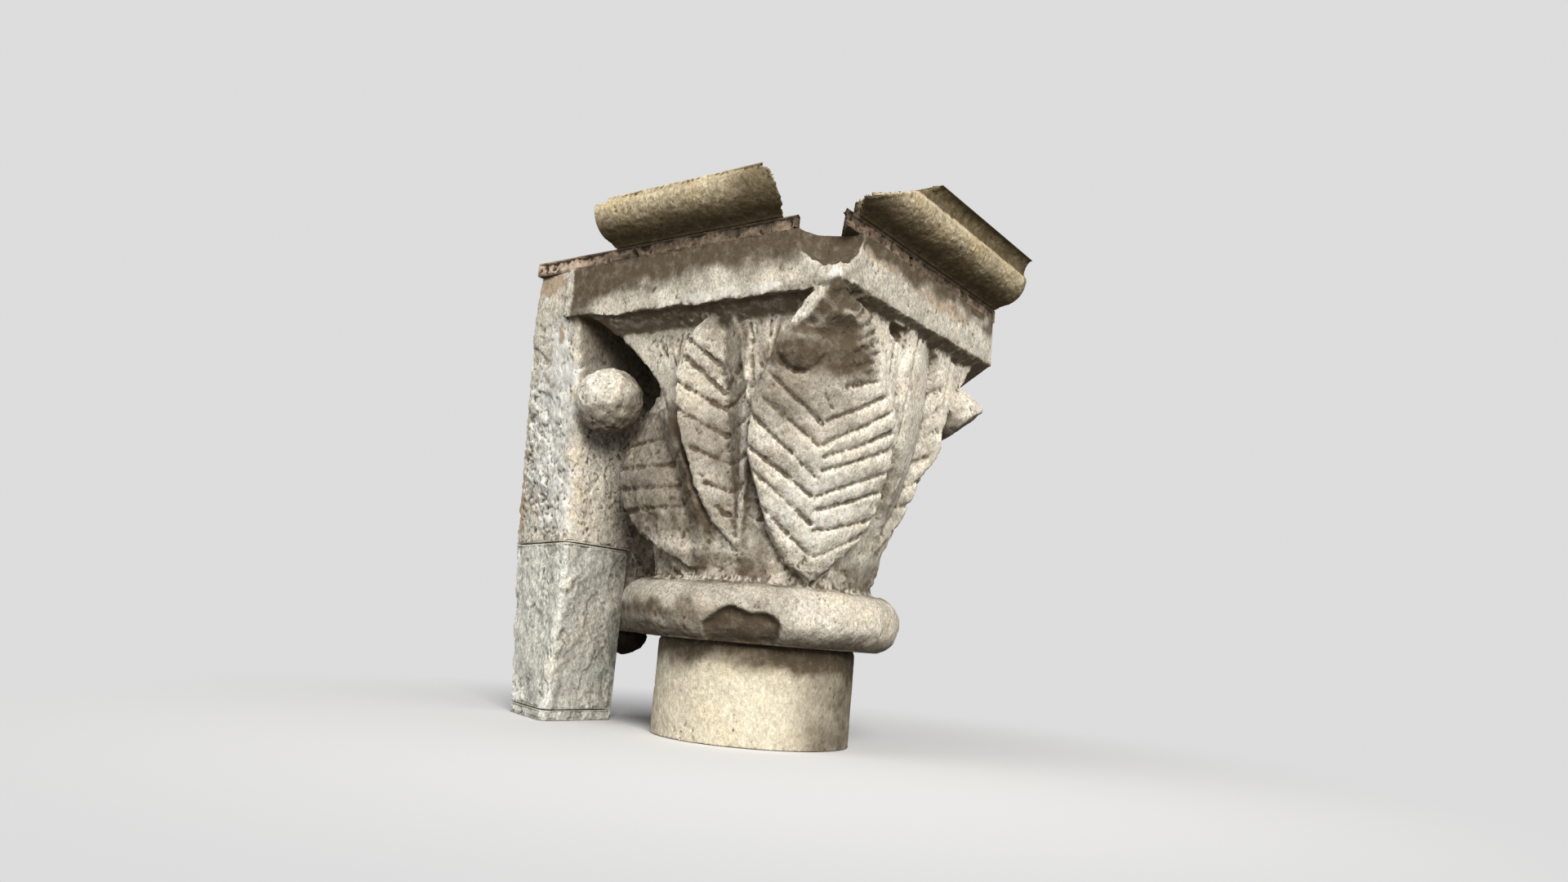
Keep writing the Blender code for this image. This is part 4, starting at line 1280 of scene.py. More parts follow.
    def worn_ball(self) -> Object:
        """The right ball, worn away to two flats that meet in a blunt edge."""
        centre = Vector(self.right_ball) + Vector((0.0, 0.0, BED))
        ball = Bench.ball("right_ball", centre, self.right_ball_radius, 6)
        heading = math.radians(self.right_ball_heading)
        for tilt, distance in self.right_ball_flats:
            lean = math.radians(tilt)
            out = math.cos(lean)
            flat = Vector((out * math.cos(heading), out * math.sin(heading), math.sin(lean)))
            Bench.cut_away(ball, centre + flat * distance, flat)
        return ball

    def hidden(self, at: Points) -> Points:
        """1 on the faces where the stone was cut free of the wall or meets a bed."""
        back = at[:, 1] > ABACUS_END - 0.0012
        bed = at[:, 2] < BED + SKIN
        top = at[:, 2] > BED + CAPITAL_HEIGHT - BEDDED
        joint = (np.abs(at[:, 2] - BED - JAMB_JOINT) < BEDDED) & (at[:, 0] < -NOOK_FACE)
        return (back | bed | top | joint).astype(float)

    def on_ball(self, at: Points, reach: float) -> Points:
        """True within a reach of the middle of the left ball."""
        middle = np.array(self.left_ball) + np.array([0.0, 0.0, BED])
        return np.linalg.norm(at - middle, axis=1) < reach

    def roughness(self, at: Points) -> Points:
        """Coarser on the jamb, the neck and the battered hood, finer on the webs and the slab."""
        place = Place.of(at)
        rough = 0.76 + 0.2 * HOOD.share(place) + 0.25 * self.on_ball(at, 0.034)
        return rough + sum(zone.share(place) for zone in ROUGH_ZONES)

    def dirt_and_shade(self, at: Points, out: Points) -> Points:
        """Dirt and painted shade where the zones say, on the hood, the leaf, the ring and the slab, less
        painted shade on the lit nook wall, and less on the ball.
        """
        place = Place.of(at)
        ragged = StoneNoise.layers(at, 0.018, 91, 3)
        total = sum(zone.share(place, ragged) for zone in DIRT_AND_SHADE_ZONES)
        total += self.hood_dirt_and_shade(place, out, ragged)
        total += self.leaf_shade(place, ragged)
        total += self.ring_shade(place, ragged)
        total += self.slab_dirt_and_shade(place, out, ragged)
        # The nook wall is lit: less painted shade there
        lit_nook_wall = falling(place.x, -0.128, 0.006) * rising(out[:, 0], 0.2, 0.4)
        total -= 0.85 * lit_nook_wall * falling(place.z, 0.26, 0.1)
        return np.clip(total - 0.25 * self.on_ball(at, 0.033), -1.0, 1.0)

    def hood_dirt_and_shade(self, place: Place, out: Points, ragged: Points) -> Points:
        """Brown dirt and painted shade on the battered hood, more painted shade on its undersides, in its
        hollows and below it, less on its lit shoulder.
        """
        # Faces turned down take more painted shade
        lean = falling(out[:, 2], -0.08, 0.45)
        margin = -42.5 + (place.z - 0.272) * 155.0
        shoulder = falling(place.degrees, margin, 2.2) * rising(place.z, 0.241, 0.005)
        total = HOOD.share(place) * (0.6 + 0.15 * lean + 0.1 * ragged) * (1.0 - 0.65 * shoulder)
        total += UNDER_HOOD.share(place) * smooth_step((place.z - 0.15) / 0.03 + 0.3 * ragged)
        # Painted shade in the hood's hollows
        for angle, height, wide, tall, strength in self.hood_shade_spots:
            far = np.hypot((place.degrees - angle) * 0.0026 / wide, (place.z - height) / tall)
            total += strength * smooth_step((1.12 - far + 0.3 * ragged) / 0.4) * (place.radius > 0.14)
        return total

    def leaf_shade(self, place: Place, ragged: Points) -> Points:
        """Painted shade along the middle leaf of the left face: on the half of its valley turned from the
        light, and past its left margin, where the leaf stands forward.
        """
        leaf = LEFT_MIDDLE_LEAF
        valley = rising(place.degrees - leaf.at(leaf.rib, place.z), 0.0, 2.0)
        total = valley * LEAF_VALLEY.share(place)
        beside = leaf.at(leaf.left, place.z) - place.degrees
        strip = rising(beside, 0.0, 1.5) * falling(beside, 12.0, 4.0)
        total += strip * LEAF_STRIP.share(place, ragged)
        return total + rising(beside, 1.0, 2.0) * LEAF_BESIDE.share(place)

    def ring_shade(self, place: Place, ragged: Points) -> Points:
        """Painted shade low on the left of the ring and in the flake lost from it."""
        left = RING_LEFT.share(place) * smooth_step((0.034 - place.z + 0.008 * ragged) / 0.014)
        spread = (place.degrees - FLAKE_MIDDLE) / FLAKE_HALF
        return left + RING_FLAKE.share(place) * smooth_step((1.0 - spread**2) * 4.0)

    def slab_dirt_and_shade(self, place: Place, out: Points, ragged: Points) -> Points:
        """Dirt and painted shade under the slab, painted shade in its broken corner, a painted shadow down
        from its top edge on the left, and dirt down from its top edge on the right.
        """
        x, y, z = place.x, place.y, place.z
        total = falling(out[:, 2], -0.4, 0.35) * UNDER_SLAB.share(place)
        # Painted shade in the hollow broken out of the corner
        centre, radii = self.chip
        away = (np.stack([x, y, z], 1) - np.array(centre)) / np.array(radii)
        total += falling(np.sqrt((away**2).sum(1)), 1.28, 0.1) * (y > -0.123) * (x < 0.138)
        # Painted shadow of the moulding, fading down the left fascia
        reach = 0.032 + 0.01 * smooth_step(-x / 0.1)
        top = 1.1 - (CAPITAL_HEIGHT - z) / reach + 0.14 * ragged
        total += smooth_step(top) * SLAB_LEFT.share(place)
        top = (z - CAPITAL_HEIGHT + 0.02) / 0.016 + 0.6 * ragged
        return total + smooth_step(top) * SLAB_RIGHT.share(place)

    def stains(self) -> dict:
        """Lime down the jamb's arris and at the slab's corner, ochre near the slab and in the nook."""
        lime = [
            ((-0.17, -0.12, BED + 0.2), (0.03, 0.05, 0.09), 0.9),
            ((-0.2, -0.11, BED + 0.15), (0.06, 0.07, 0.12), 0.8),
            ((-0.16, -0.125, BED + 0.09), (0.03, 0.05, 0.02), 0.7),
            ((-0.175, -0.12, BED + 0.265), (0.03, 0.03, 0.02), 0.6),
            ((0.134, -0.123, BED + 0.279), (0.008, 0.008, 0.006), 1.0),
            ((-0.116, -0.12, BED + 0.2), (0.03, 0.03, 0.03), 0.4),
            ((0.03, -0.125, BED + 0.277), (0.09, 0.006, 0.006), 0.55),
            ((0.1, -0.075, BED + 0.11), (0.05, 0.05, 0.055), 0.45),
        ]
        ochre = [
            ((-0.168, -0.122, BED + 0.262), (0.008, 0.02, 0.016), 0.9),
            ((-0.252, -0.06, BED + 0.12), (0.014, 0.05, 0.06), 0.8),
            ((-0.19, -0.115, BED + 0.313), (0.03, 0.03, 0.012), 0.9),
            ((0.14, -0.06, BED + 0.309), (0.01, 0.045, 0.008), 0.6),
            ((0.14, 0.04, BED + 0.304), (0.01, 0.07, 0.012), 0.7),
        ]
        rust = [
            ((-0.143, -0.105, BED + 0.13), (0.008, 0.03, 0.05), 0.5),
            ((-0.15, -0.12, BED + 0.085), (0.03, 0.03, 0.012), 0.35),
        ]
        return {"lime": lime, "ochre": ochre, "stain": rust}


@dataclass
class JambStone(Stonework):
    """A stone of the jamb below the capital's bed joint."""

    low: float = 0.0
    high: float = 0.1
    arris_floor: float = 0.11
    wear: Wear = Wear(lumps=0.0034, lump_size=0.02, grain=0.0015, grain_size=0.009, pits=0.001,
                      pit_rarity=0.8, arris=1.0, flakes=0.0016, seed=14)

    def forms(self) -> list:
        """The one block of the stone."""
        whole = CapitalStone()
        form = Bench.block(self.name, (0.0, 0.0, self.low), (1.0, 1.0, self.high), 44)
        at = Bench.points(form)
        share = at[:, 2] / (BED + JAMB_JOINT - JOINT)
        cut = whole.cut_foot + (whole.cut_joint - whole.cut_foot) * share
        arris = self.arris_floor + (whole.arris_foot - self.arris_floor) * share
        rounding = np.full(len(at), whole.round_foot / 2)
        fall = np.full(len(at), whole.fall_foot)
        Bench.place(form, CapitalStone.jamb_points(at, arris, rounding, cut, fall, whole.lower_back))
        return [form]

    def hidden(self, at: Points) -> Points:
        """1 on the flat beds and the back."""
        flat = (at[:, 2] < self.low + BEDDED) | (at[:, 2] > self.high - BEDDED)
        return (flat | (at[:, 1] > CapitalStone.lower_back - SKIN)).astype(float)

    def dirt_and_shade(self, at: Points, out: Points) -> Points:
        """Less painted shade on the face turned into the nook, which the light reaches."""
        return -0.35 * smooth_step(out[:, 0] * 2.0)

    def stains(self) -> dict:
        """Lime on the arris and at the foot, and a little ochre there."""
        lime = [
            ((-0.162, -0.115, 0.045), (0.008, 0.03, 0.006), 0.9),
            ((-0.21, -0.09, 0.012), (0.02, 0.04, 0.016), 0.9),
        ]
        return {"lime": lime, "ochre": [((-0.205, -0.095, 0.008), (0.01, 0.03, 0.006), 0.6)]}


@dataclass
class ShaftStub(Stonework):
    """The top of the shaft, with its worn upper edge."""

    name: str = "shaft_drum"
    grain: float = 0.0011
    radius: float = 0.085
    wear: Wear = Wear(lumps=0.0006, grain=0.00016, pits=0.0007, pit_rarity=0.62, arris=1.0, seed=22)

    def forms(self) -> list:
        """The drum of the shaft."""
        top = BED - SEAM
        drum = Bench.drum(self.name, 420, (10, 7), self.radius, 0.0, top)
        at = Bench.points(drum)
        angle = np.arctan2(at[:, 1], at[:, 0])
        edge = 0.0018 + 0.0016 * StoneNoise.layers(at, 0.02, 4, 3)
        radius = self.radius - np.abs(edge) * np.clip((at[:, 2] - (top - 0.004)) / 0.004, 0.0, 1.0) ** 2
        rim = np.hypot(at[:, 0], at[:, 1]) > 0.01
        Bench.place(drum, np.stack([np.where(rim, radius * np.cos(angle), 0.0),
                                    np.where(rim, radius * np.sin(angle), 0.0), at[:, 2]], 1))
        return [drum]

    def hidden(self, at: Points) -> Points:
        """1 on the two beds."""
        return ((at[:, 2] < BEDDED) | (at[:, 2] > BED - SKIN)).astype(float)

    def dirt_and_shade(self, at: Points, out: Points) -> Points:
        """Painted shade close under the ring, and darker on the right."""
        ragged = StoneNoise.layers(at, 0.02, 44, 3)
        degrees = np.degrees(np.arctan2(at[:, 1], at[:, 0]))
        under = smooth_step((at[:, 2] - 0.05 + ragged * 0.008) / 0.022) * 0.85
        right = rising(degrees, -54.0, 52.0) * (0.74 + 0.16 * ragged)
        return np.clip(under + right, 0.0, 1.0)


# The break at the front corner of the bed and the moulding: its heading, and a place on each side
BREAK_HEADING = math.radians(36.0)
BREAK_WAY = (-math.sin(BREAK_HEADING), math.cos(BREAK_HEADING))
BREAK_LEFT = (0.094, -0.14)
BREAK_RIGHT = (0.15, -0.118)


@dataclass
class MortarBed(Stonework):
    """The crumbled mortar between the slab and the moulding."""

    name: str = "bedding_mortar"
    triangles: int = 80000
    grain: float = 0.0013
    wear: Wear = Wear(lumps=0.0042, lump_size=0.012, grain=0.0008, grain_size=0.0035, pits=0.003,
                      pit_size=0.006, pit_rarity=0.25, arris=1.0, seed=30)
    low: float = BED + CAPITAL_HEIGHT + SEAM
    high: float = BED + CAPITAL_HEIGHT + 0.0135
    recess: float = 0.004
    left_end: float = -0.205
    back: float = 0.157
    break_depth: float = 0.09

    def forms(self) -> list:
        """The bed, notched at the broken corner."""
        side = ABACUS_SIDE - self.recess
        front = -ABACUS_FRONT + self.recess
        into = np.array(BREAK_WAY) * self.break_depth
        left, right = np.array([BREAK_LEFT[0], front]), np.array([side, BREAK_RIGHT[1]])
        plan = [(self.left_end, front), left, left + into, right + into, right, (side, self.back),
                (self.left_end, self.back)]
        outline = np.array([(x, y, self.low) for x, y in plan])
        return [Bench.extrusion(self.name, outline, (0.0, 0.0, self.high - self.low))]

    def hidden(self, at: Points) -> Points:
        """1 on the beds and the cut faces."""
        flat = (at[:, 2] < self.low + 0.0007) | (at[:, 2] > self.high - 0.0007)
        flat |= (at[:, 1] > self.back - SKIN) | (at[:, 0] < self.left_end + SKIN)
        return flat.astype(float)

    def dirt_and_shade(self, at: Points, out: Points) -> Points:
        """Dark gaps in the bed."""
        return 0.5 * smooth_step(StoneNoise.layers(at * np.array([1.0, 1.0, 2.0]), 0.02, 61, 3) * 2.0)

    def stains(self) -> dict:
        """Paler pinkish mortar over the jamb."""
        return {"ochre": [((-0.18, -0.121, self.low + 0.006), (0.05, 0.02, 0.02), 1.0)]}


class Side(Enum):
    """Which face of the slab a moulding stone runs over."""

    LEFT = "left"
    RIGHT = "right"


@dataclass
class Moulding(Stonework):
    """A stone of the moulding above: a roll with a hollow over it, broken at the front corner."""

    triangles: int = 70000
    wear: Wear = Wear(lumps=0.0014, lump_size=0.018, grain=0.0005, pits=0.0008, pit_rarity=0.65,
                      arris=1.0, seed=50)
    side: Side = Side.LEFT
    bed: float = MortarBed.high + SEAM
    height: float = 0.042
    depth: float = 0.115
    recess: float = 0.004
    roll_out: float = 0.027
    roll_rise: float = 0.028
    quirk: float = 0.003
    hollow_in: float = 0.012
    flare: float = 0.0
    left_end: float = -0.105
    far_end: float = 0.157
    lean: float = 0.5
    slope: float = 0.46
    slope_from: tuple = (-0.118, 0.006)

    def profile(self) -> Points:
        """Section of the moulding.

        Returns:
            How far out and how far up each corner is, from the back round the front.
        """
        turn = np.linspace(0.0, math.pi / 2, 17)
        roll_out = self.quirk + (self.roll_out - self.quirk) * np.sin(turn)
        roll_up = self.quirk + (self.roll_rise - self.quirk) * (1.0 - np.cos(turn))
        lip_out, lip_up = self.roll_out - 0.003, self.roll_rise + 0.004
        rise = self.height - lip_up
        hollow_out = lip_out - self.hollow_in * np.sin(turn[1:])
        hollow_up = lip_up + rise * (1.0 - np.cos(turn[1:]))
        if self.flare:
            hollow_out = lip_out + self.flare * (1.0 - np.cos(turn[1:]))
            hollow_up = lip_up + rise * np.sin(turn[1:])
        out = np.concatenate([[-self.depth, -self.recess], roll_out, [lip_out], hollow_out, [-self.depth]])
        up = np.concatenate([[0.0, 0.0], roll_up, [lip_up], hollow_up, [self.height]])
        return np.stack([out, up], 1)

    def breaks(self) -> list:
        """Point and direction of each plane along which the stone is broken."""
        into = BREAK_WAY
        if self.side is Side.LEFT:
            return [((*BREAK_LEFT, self.bed), (into[1], -into[0], self.lean))]
        start, rise = self.slope_from
        return [((*BREAK_RIGHT, self.bed), (-into[1], into[0], 0.0)),
                ((0.0, start, self.bed + rise), (0.0, -self.slope, 1.0))]

    def forms(self) -> list:
        """The run of moulding, broken at the corner."""
        out, up = self.profile().T
        if self.side is Side.LEFT:
            outline = np.stack([np.full(len(out), self.left_end), -ABACUS_FRONT - out, self.bed + up], 1)
            along = (ABACUS_SIDE - self.left_end, 0.0, 0.0)
        else:
            outline = np.stack([ABACUS_SIDE + out, np.full(len(out), -ABACUS_FRONT), self.bed + up], 1)
            along = (0.0, self.far_end + ABACUS_FRONT, 0.0)
        form = Bench.extrusion(self.name, outline, along)
        for point, normal in self.breaks():
            Bench.cut_away(form, point, normal)
        return [form]

    def hidden(self, at: Points) -> Points:
        """1 on the beds and the cut ends."""
        flat = (at[:, 2] < self.bed + BEDDED) | (at[:, 2] > self.bed + self.height - BEDDED)
        if self.side is Side.LEFT:
            flat |= (at[:, 0] < self.left_end + SKIN) | (at[:, 1] > self.depth - ABACUS_FRONT - SKIN)
        else:
            flat |= (at[:, 1] > self.far_end - SKIN) | (at[:, 0] < ABACUS_SIDE - self.depth + SKIN)
        return flat.astype(float)

    def roughness(self, at: Points) -> Points:
        """1, and more on the broken faces."""
        rough = np.ones(len(at))
        for point, normal in self.breaks():
            way = np.array(normal) / np.linalg.norm(normal)
            rough += 2.5 * (np.abs((at - np.array(point)) @ way) < 0.0012)
        return rough

    def dirt_and_shade(self, at: Points, out: Points) -> Points:
        """Painted shade under the roll and in the hollow over it; the left run is darker towards its right
        end.
        """
        up = at[:, 2] - self.bed
        ragged = StoneNoise.layers(at, 0.02, 47, 3) * 0.004
        under = smooth_step((0.019 + ragged - up) / 0.016) * 0.85
        if self.side is Side.LEFT:
            return np.maximum(under, 0.7 * rising(at[:, 0], 0.015, 0.05))
        above = smooth_step((up + 0.3 * ragged - self.roll_rise - 0.002) / 0.003) * 0.8
        return np.maximum(under, above)


@dataclass
class PackingLump(Stonework):
    """A lump of dark packing behind the lower jamb stone."""

    name: str = "packing_lump"
    triangles: int = 14000
    grain: float = 0.0011
    wear: Wear = Wear(lumps=0.002, lump_size=0.01, grain=0.0006, pits=0.0016, pit_rarity=0.35, seed=70)
    centre: tuple = (-0.152, -0.004, BED - 0.003)
    radii: tuple = (0.0215, 0.021, 0.019)

    def forms(self) -> list:
        """The lump, cut flat against the stones it fills between."""
        lump = Bench.ball(self.name, (0, 0, 0), 1.0, 6)
        at = Bench.points(lump)
        at *= (1.0 - 0.06 * np.abs(StoneNoise.layers(at, 0.6, 3, 3)))[:, None]
        Bench.place(lump, at * np.array(self.radii) + np.array(self.centre))
        Bench.cut_away(lump, (0.0, 0.0, BED - SEAM), (0.0, 0.0, 1.0))
        Bench.cut_away(lump, (0.0, CapitalStone.lower_back + SEAM, 0.0), (0.0, -1.0, 0.0))
        return [lump]

    def hidden(self, at: Points) -> Points:
        """1 where it meets the stones."""
        return ((at[:, 2] > BED - 0.001) | (at[:, 1] < CapitalStone.lower_back + SKIN)).astype(float)

    def dirt_and_shade(self, at: Points, out: Points) -> Points:
        """Dark all over."""
        return np.full(len(at), 0.35)


class Wiring:
    """Adds and joins the nodes of one node tree."""

    def __init__(self, tree: bpy.types.NodeTree) -> None:
        """Works on one tree."""
        self.tree = tree

    def node(self, kind: str, inputs: dict | None = None, **settings: object) -> bpy.types.Node:
        """Adds a node.

        Args:
            kind: type of the node.
            inputs: values or sockets for its inputs, by name or number.
            settings: properties of the node.

        Returns:
            The node.
        """
        made = self.tree.nodes.new(kind)
        for key, value in settings.items():
            setattr(made, key, value)
        for key, value in (inputs or {}).items():
            self.feed(made.inputs[key], value)
        return made

    def feed(self, socket: Socket, value: object) -> None:
        """Joins a socket to an input, or sets the input's own value."""
        if isinstance(value, Socket):
            self.tree.links.new(value, socket)
        else:
            socket.default_value = value

    def maths(self, operation: str, first: object, second: object, clamp: bool = False) -> Socket:
        """The outcome of one sum."""
        made = self.node("ShaderNodeMath", {0: first, 1: second}, operation=operation, use_clamp=clamp)
        return made.outputs[0]

    def plus(self, first: object, second: object) -> Socket:
        """Two values added."""
        return self.maths("ADD", first, second)

    def less(self, first: object, second: object) -> Socket:
        """The first value less the second."""
        return self.maths("SUBTRACT", first, second)

    def times(self, first: object, second: object, clamp: bool = False) -> Socket:
        """Two values multiplied."""
        return self.maths("MULTIPLY", first, second, clamp)

    def span(
        self, value: object, low: float, high: float, out_low: float = 0.0, out_high: float = 1.0
    ) -> Socket:
        """A value eased from one range into another."""
        inputs = {0: value, 1: low, 2: high, 3: out_low, 4: out_high}
        return self.node("ShaderNodeMapRange", inputs, interpolation_type="SMOOTHSTEP").outputs[0]

    def blend(self, amount: object, first: object, second: object, kind: str = "MIX") -> Socket:
        """One colour laid over another by an amount."""
        inputs = {0: amount, 6: first, 7: second}
        made = self.node("ShaderNodeMix", inputs, data_type="RGBA", blend_type=kind, clamp_factor=True)
        return made.outputs[2]

    def noise(self, place: object, scale: float, detail: float, rough: float) -> Socket:
        """Cloudy noise in space, around a half."""
        inputs = {"Vector": place, "Scale": scale, "Detail": detail, "Roughness": rough}
        return self.node("ShaderNodeTexNoise", inputs).outputs["Fac"]

    def grey(self, value: object) -> Socket:
        """A grey of one value."""
        return self.node("ShaderNodeCombineColor", {0: value, 1: value, 2: value}).outputs[0]

    def place(self) -> Socket:
        """Each point's place in its stone's own space."""
        return self.node("ShaderNodeTexCoord").outputs["Object"]

    def mark(self, name: str) -> Socket:
        """A mask kept on the mesh."""
        return self.node("ShaderNodeAttribute", attribute_name=name).outputs["Fac"]

    def group(self, tree: bpy.types.NodeTree, **inputs: object) -> bpy.types.bpy_prop_collection:
        """A shared effect with its inputs fed, by its outputs."""
        return self.node("ShaderNodeGroup", inputs, node_tree=tree).outputs


def colour(red: float, green: float, blue: float) -> tuple:
    """An opaque colour."""
    return (red, green, blue, 1.0)


class StoneEffects:
    """Node groups that the finishes share."""

    @staticmethod
    def start(name: str, inputs: dict, outputs: Sequence[str]) -> tuple:
        """Starts a node group with its sockets.

        Args:
            name: the group's name.
            inputs: the first value of each input by name, a colour or a number.
            outputs: names of the outputs, of which Colour is a colour and the others are numbers.

        Returns:
            The group's wiring, the sockets that it is given and those of its result.
        """
        tree = bpy.data.node_groups.new(name, "ShaderNodeTree")
        for key, value in inputs.items():
            kind = "NodeSocketColor" if isinstance(value, tuple) else "NodeSocketFloat"
            tree.interface.new_socket(key, in_out="INPUT", socket_type=kind).default_value = value
        for key in outputs:
            kind = "NodeSocketColor" if key == "Colour" else "NodeSocketFloat"
            tree.interface.new_socket(key, in_out="OUTPUT", socket_type=kind)
        given = tree.nodes.new("NodeGroupInput").outputs
        return Wiring(tree), given, tree.nodes.new("NodeGroupOutput").inputs

    @classmethod
    def mottling(cls) -> bpy.types.NodeTree:
        """Cloudy stone with sandy speckle and small dark pits."""
        wire, given, result = cls.start(
            "stone_mottling",
            {"Dark": colour(0.3, 0.3, 0.3), "Light": colour(0.7, 0.7, 0.7), "Warm": colour(0.5, 0.4, 0.3),
             "Speckle": 0.5, "Pitting": 0.5},
            ("Colour", "Height"),
        )
        place = wire.place()
        stretch = {"Vector": place, "Rotation": (0.5, 0.8, 0.3), "Scale": (1.0, 1.0, 0.68)}
        drawn = wire.node("ShaderNodeMapping", stretch).outputs[0]
        cloud = wire.noise(place, 16.0, 4.0, 0.6)
        patch = wire.noise(place, 62.0, 5.0, 0.62)
        blotch = wire.noise(drawn, 210.0, 3.0, 0.6)
        sand = wire.noise(drawn, 470.0, 3.0, 0.6)
        fine = wire.noise(place, 950.0, 2.0, 0.5)
        light = 0.0
        parts = ((cloud, 0.3, 0.7, 0.3), (patch, 0.28, 0.72, 0.35), (blotch, 0.3, 0.7, 0.35))
        for part, low, high, share in parts:
            light = wire.plus(light, wire.span(part, low, high, 0.0, share))
        base = wire.blend(light, given["Dark"], given["Light"])
        warm = wire.span(wire.noise(place, 31.0, 4.0, 0.6), 0.46, 0.72, 0.0, 0.7)
        base = wire.blend(warm, base, given["Warm"])
        dots = wire.plus(wire.span(sand, 0.28, 0.72, -1.0, 1.0), wire.span(fine, 0.3, 0.7, -0.7, 0.7))
        gain = wire.plus(wire.times(wire.times(dots, given["Speckle"]), 0.28), 1.0)
        base = wire.blend(1.0, base, wire.grey(gain), "MULTIPLY")
        hole = wire.span(wire.noise(place, 330.0, 2.0, 0.5), 0.66, 0.76)
        where = wire.span(wire.noise(place, 45.0, 3.0, 0.6), 0.44, 0.6)
        hole = wire.times(wire.times(hole, where), given["Pitting"], True)
        base = wire.blend(wire.times(hole, 0.7), base, colour(0.1, 0.078, 0.05))
        rise = wire.plus(wire.times(sand, 0.45), wire.times(blotch, 0.9))
        rise = wire.plus(rise, wire.times(fine, 0.15))
        wire.feed(result["Colour"], base)
        wire.feed(result["Height"], wire.less(rise, wire.times(hole, 0.9)))
        return wire.tree

    @classmethod
    def grime_and_shade(cls) -> bpy.types.NodeTree:
        """Lays dark dirt and painted shade into cuts and sheltered places, and pales the rubbed arrises."""
        wire, given, result = cls.start(
            "stone_grime_and_shade",
            {"Colour": colour(0.5, 0.5, 0.5), "Dirt": colour(0.1, 0.08, 0.05), "Amount": 1.0, "Rubbed": 0.4},
            ("Colour",),
        )
        shade_kept = wire.less(1.0, wire.mark("shade_lifted"))
        # Painted shade, with some dirt, where the sky is hidden, less where the shade_lifted mark says
        shelter = wire.times(wire.span(wire.mark("sheltered"), 0.42, 0.95, 0.0, 0.85), shade_kept)
        clean_and_unshaded = wire.less(1.0, shelter)
        # Dirt and painted shade in the cuts and in the zones
        for mark, strength in (("grime_and_shade", 0.9), ("dirty_and_shaded", 1.0)):
            clean_and_unshaded = wire.times(clean_and_unshaded, wire.span(wire.mark(mark), 0.0, 1.0, 1.0, 1.0 - strength))
        break_up = wire.span(wire.noise(wire.place(), 120.0, 4.0, 0.65), 0.25, 0.75, 0.88, 1.1)
        mask = wire.times(wire.less(1.0, clean_and_unshaded), break_up)
        mask = wire.times(mask, given["Amount"], True)
        shown = wire.blend(mask, given["Colour"], given["Dirt"])
        pale = wire.times(wire.mark("bright"), given["Rubbed"], True)
        lifted = wire.blend(1.0, shown, colour(1.32, 1.3, 1.27), "MULTIPLY")
        wire.feed(result["Colour"], wire.blend(pale, shown, lifted))
        return wire.tree

    @classmethod
    def crust(cls) -> bpy.types.NodeTree:
        """Lays a ragged crust of another colour where a mark says so."""
        wire, given, result = cls.start(
            "stone_crust",
            {"Colour": colour(0.5, 0.5, 0.5), "Crust": colour(0.7, 0.7, 0.7), "Mark": 0.0, "Strength": 1.0},
            ("Colour",),
        )
        torn = wire.span(wire.noise(wire.place(), 180.0, 5.0, 0.7), 0.2, 0.8, -0.4, 0.4)
        torn = wire.plus(given["Mark"], torn)
        mask = wire.times(wire.span(torn, 0.2, 0.85), given["Strength"], True)
        mask = wire.times(mask, wire.span(given["Mark"], 0.02, 0.25), True)
        wire.feed(result["Colour"], wire.blend(mask, given["Colour"], given["Crust"]))
        return wire.tree


@dataclass(frozen=True)
class StoneFinish:
    """Colours and surface of one kind of stone or mortar."""

    name: str
    dark: tuple
    light: tuple
    warm: tuple
    # The dark colour laid as dirt and as painted shade
    dirt_and_shade: tuple = (0.085, 0.063, 0.039)
    speckle: float = 1.0
    pitting: float = 0.7
    dirt_and_shade_amount: float = 1.0
    rubbed: float = 0.5
    lime: tuple = (0.82, 0.81, 0.76)
    ochre: tuple = (0.42, 0.3, 0.19)
    stain: tuple = (0.56, 0.47, 0.3)
    crusting: float = 0.8
    bump: float = 0.002
    roughness: float = 0.9

    def material(self, groups: dict) -> bpy.types.Material:
        """Makes the finish.

        Args:
            groups: the shared node groups by name.

        Returns:
            The material.
        """
        made = bpy.data.materials.new(self.name)
        made.use_nodes = True
        wire = Wiring(made.node_tree)
        shader = made.node_tree.nodes["Principled BSDF"]
        mottled = wire.group(
            groups["mottling"], Dark=colour(*self.dark), Light=colour(*self.light), Warm=colour(*self.warm),
            Speckle=self.speckle, Pitting=self.pitting,
        )
        shown = mottled["Colour"]
        for mark, crust in (("lime", self.lime), ("stain", self.stain), ("ochre", self.ochre)):
            laid = wire.group(
                groups["crust"], Colour=shown, Crust=colour(*crust), Mark=wire.mark(mark),
                Strength=self.crusting,
            )
            shown = laid["Colour"]
        dirty_and_shaded = wire.group(
            groups["grime_and_shade"], Colour=shown, Dirt=colour(*self.dirt_and_shade), Amount=self.dirt_and_shade_amount,
            Rubbed=self.rubbed,
        )
        wire.feed(shader.inputs["Base Color"], dirty_and_shaded["Colour"])
        rough = wire.span(mottled["Height"], 0.3, 1.2, self.roughness - 0.06, self.roughness + 0.06)
        wire.feed(shader.inputs["Roughness"], rough)
        shader.inputs["Specular IOR Level"].default_value = 0.25
        relief = {"Height": mottled["Height"], "Distance": self.bump, "Strength": 0.75}
        wire.feed(shader.inputs["Normal"], wire.node("ShaderNodeBump", relief).outputs["Normal"])
        return made


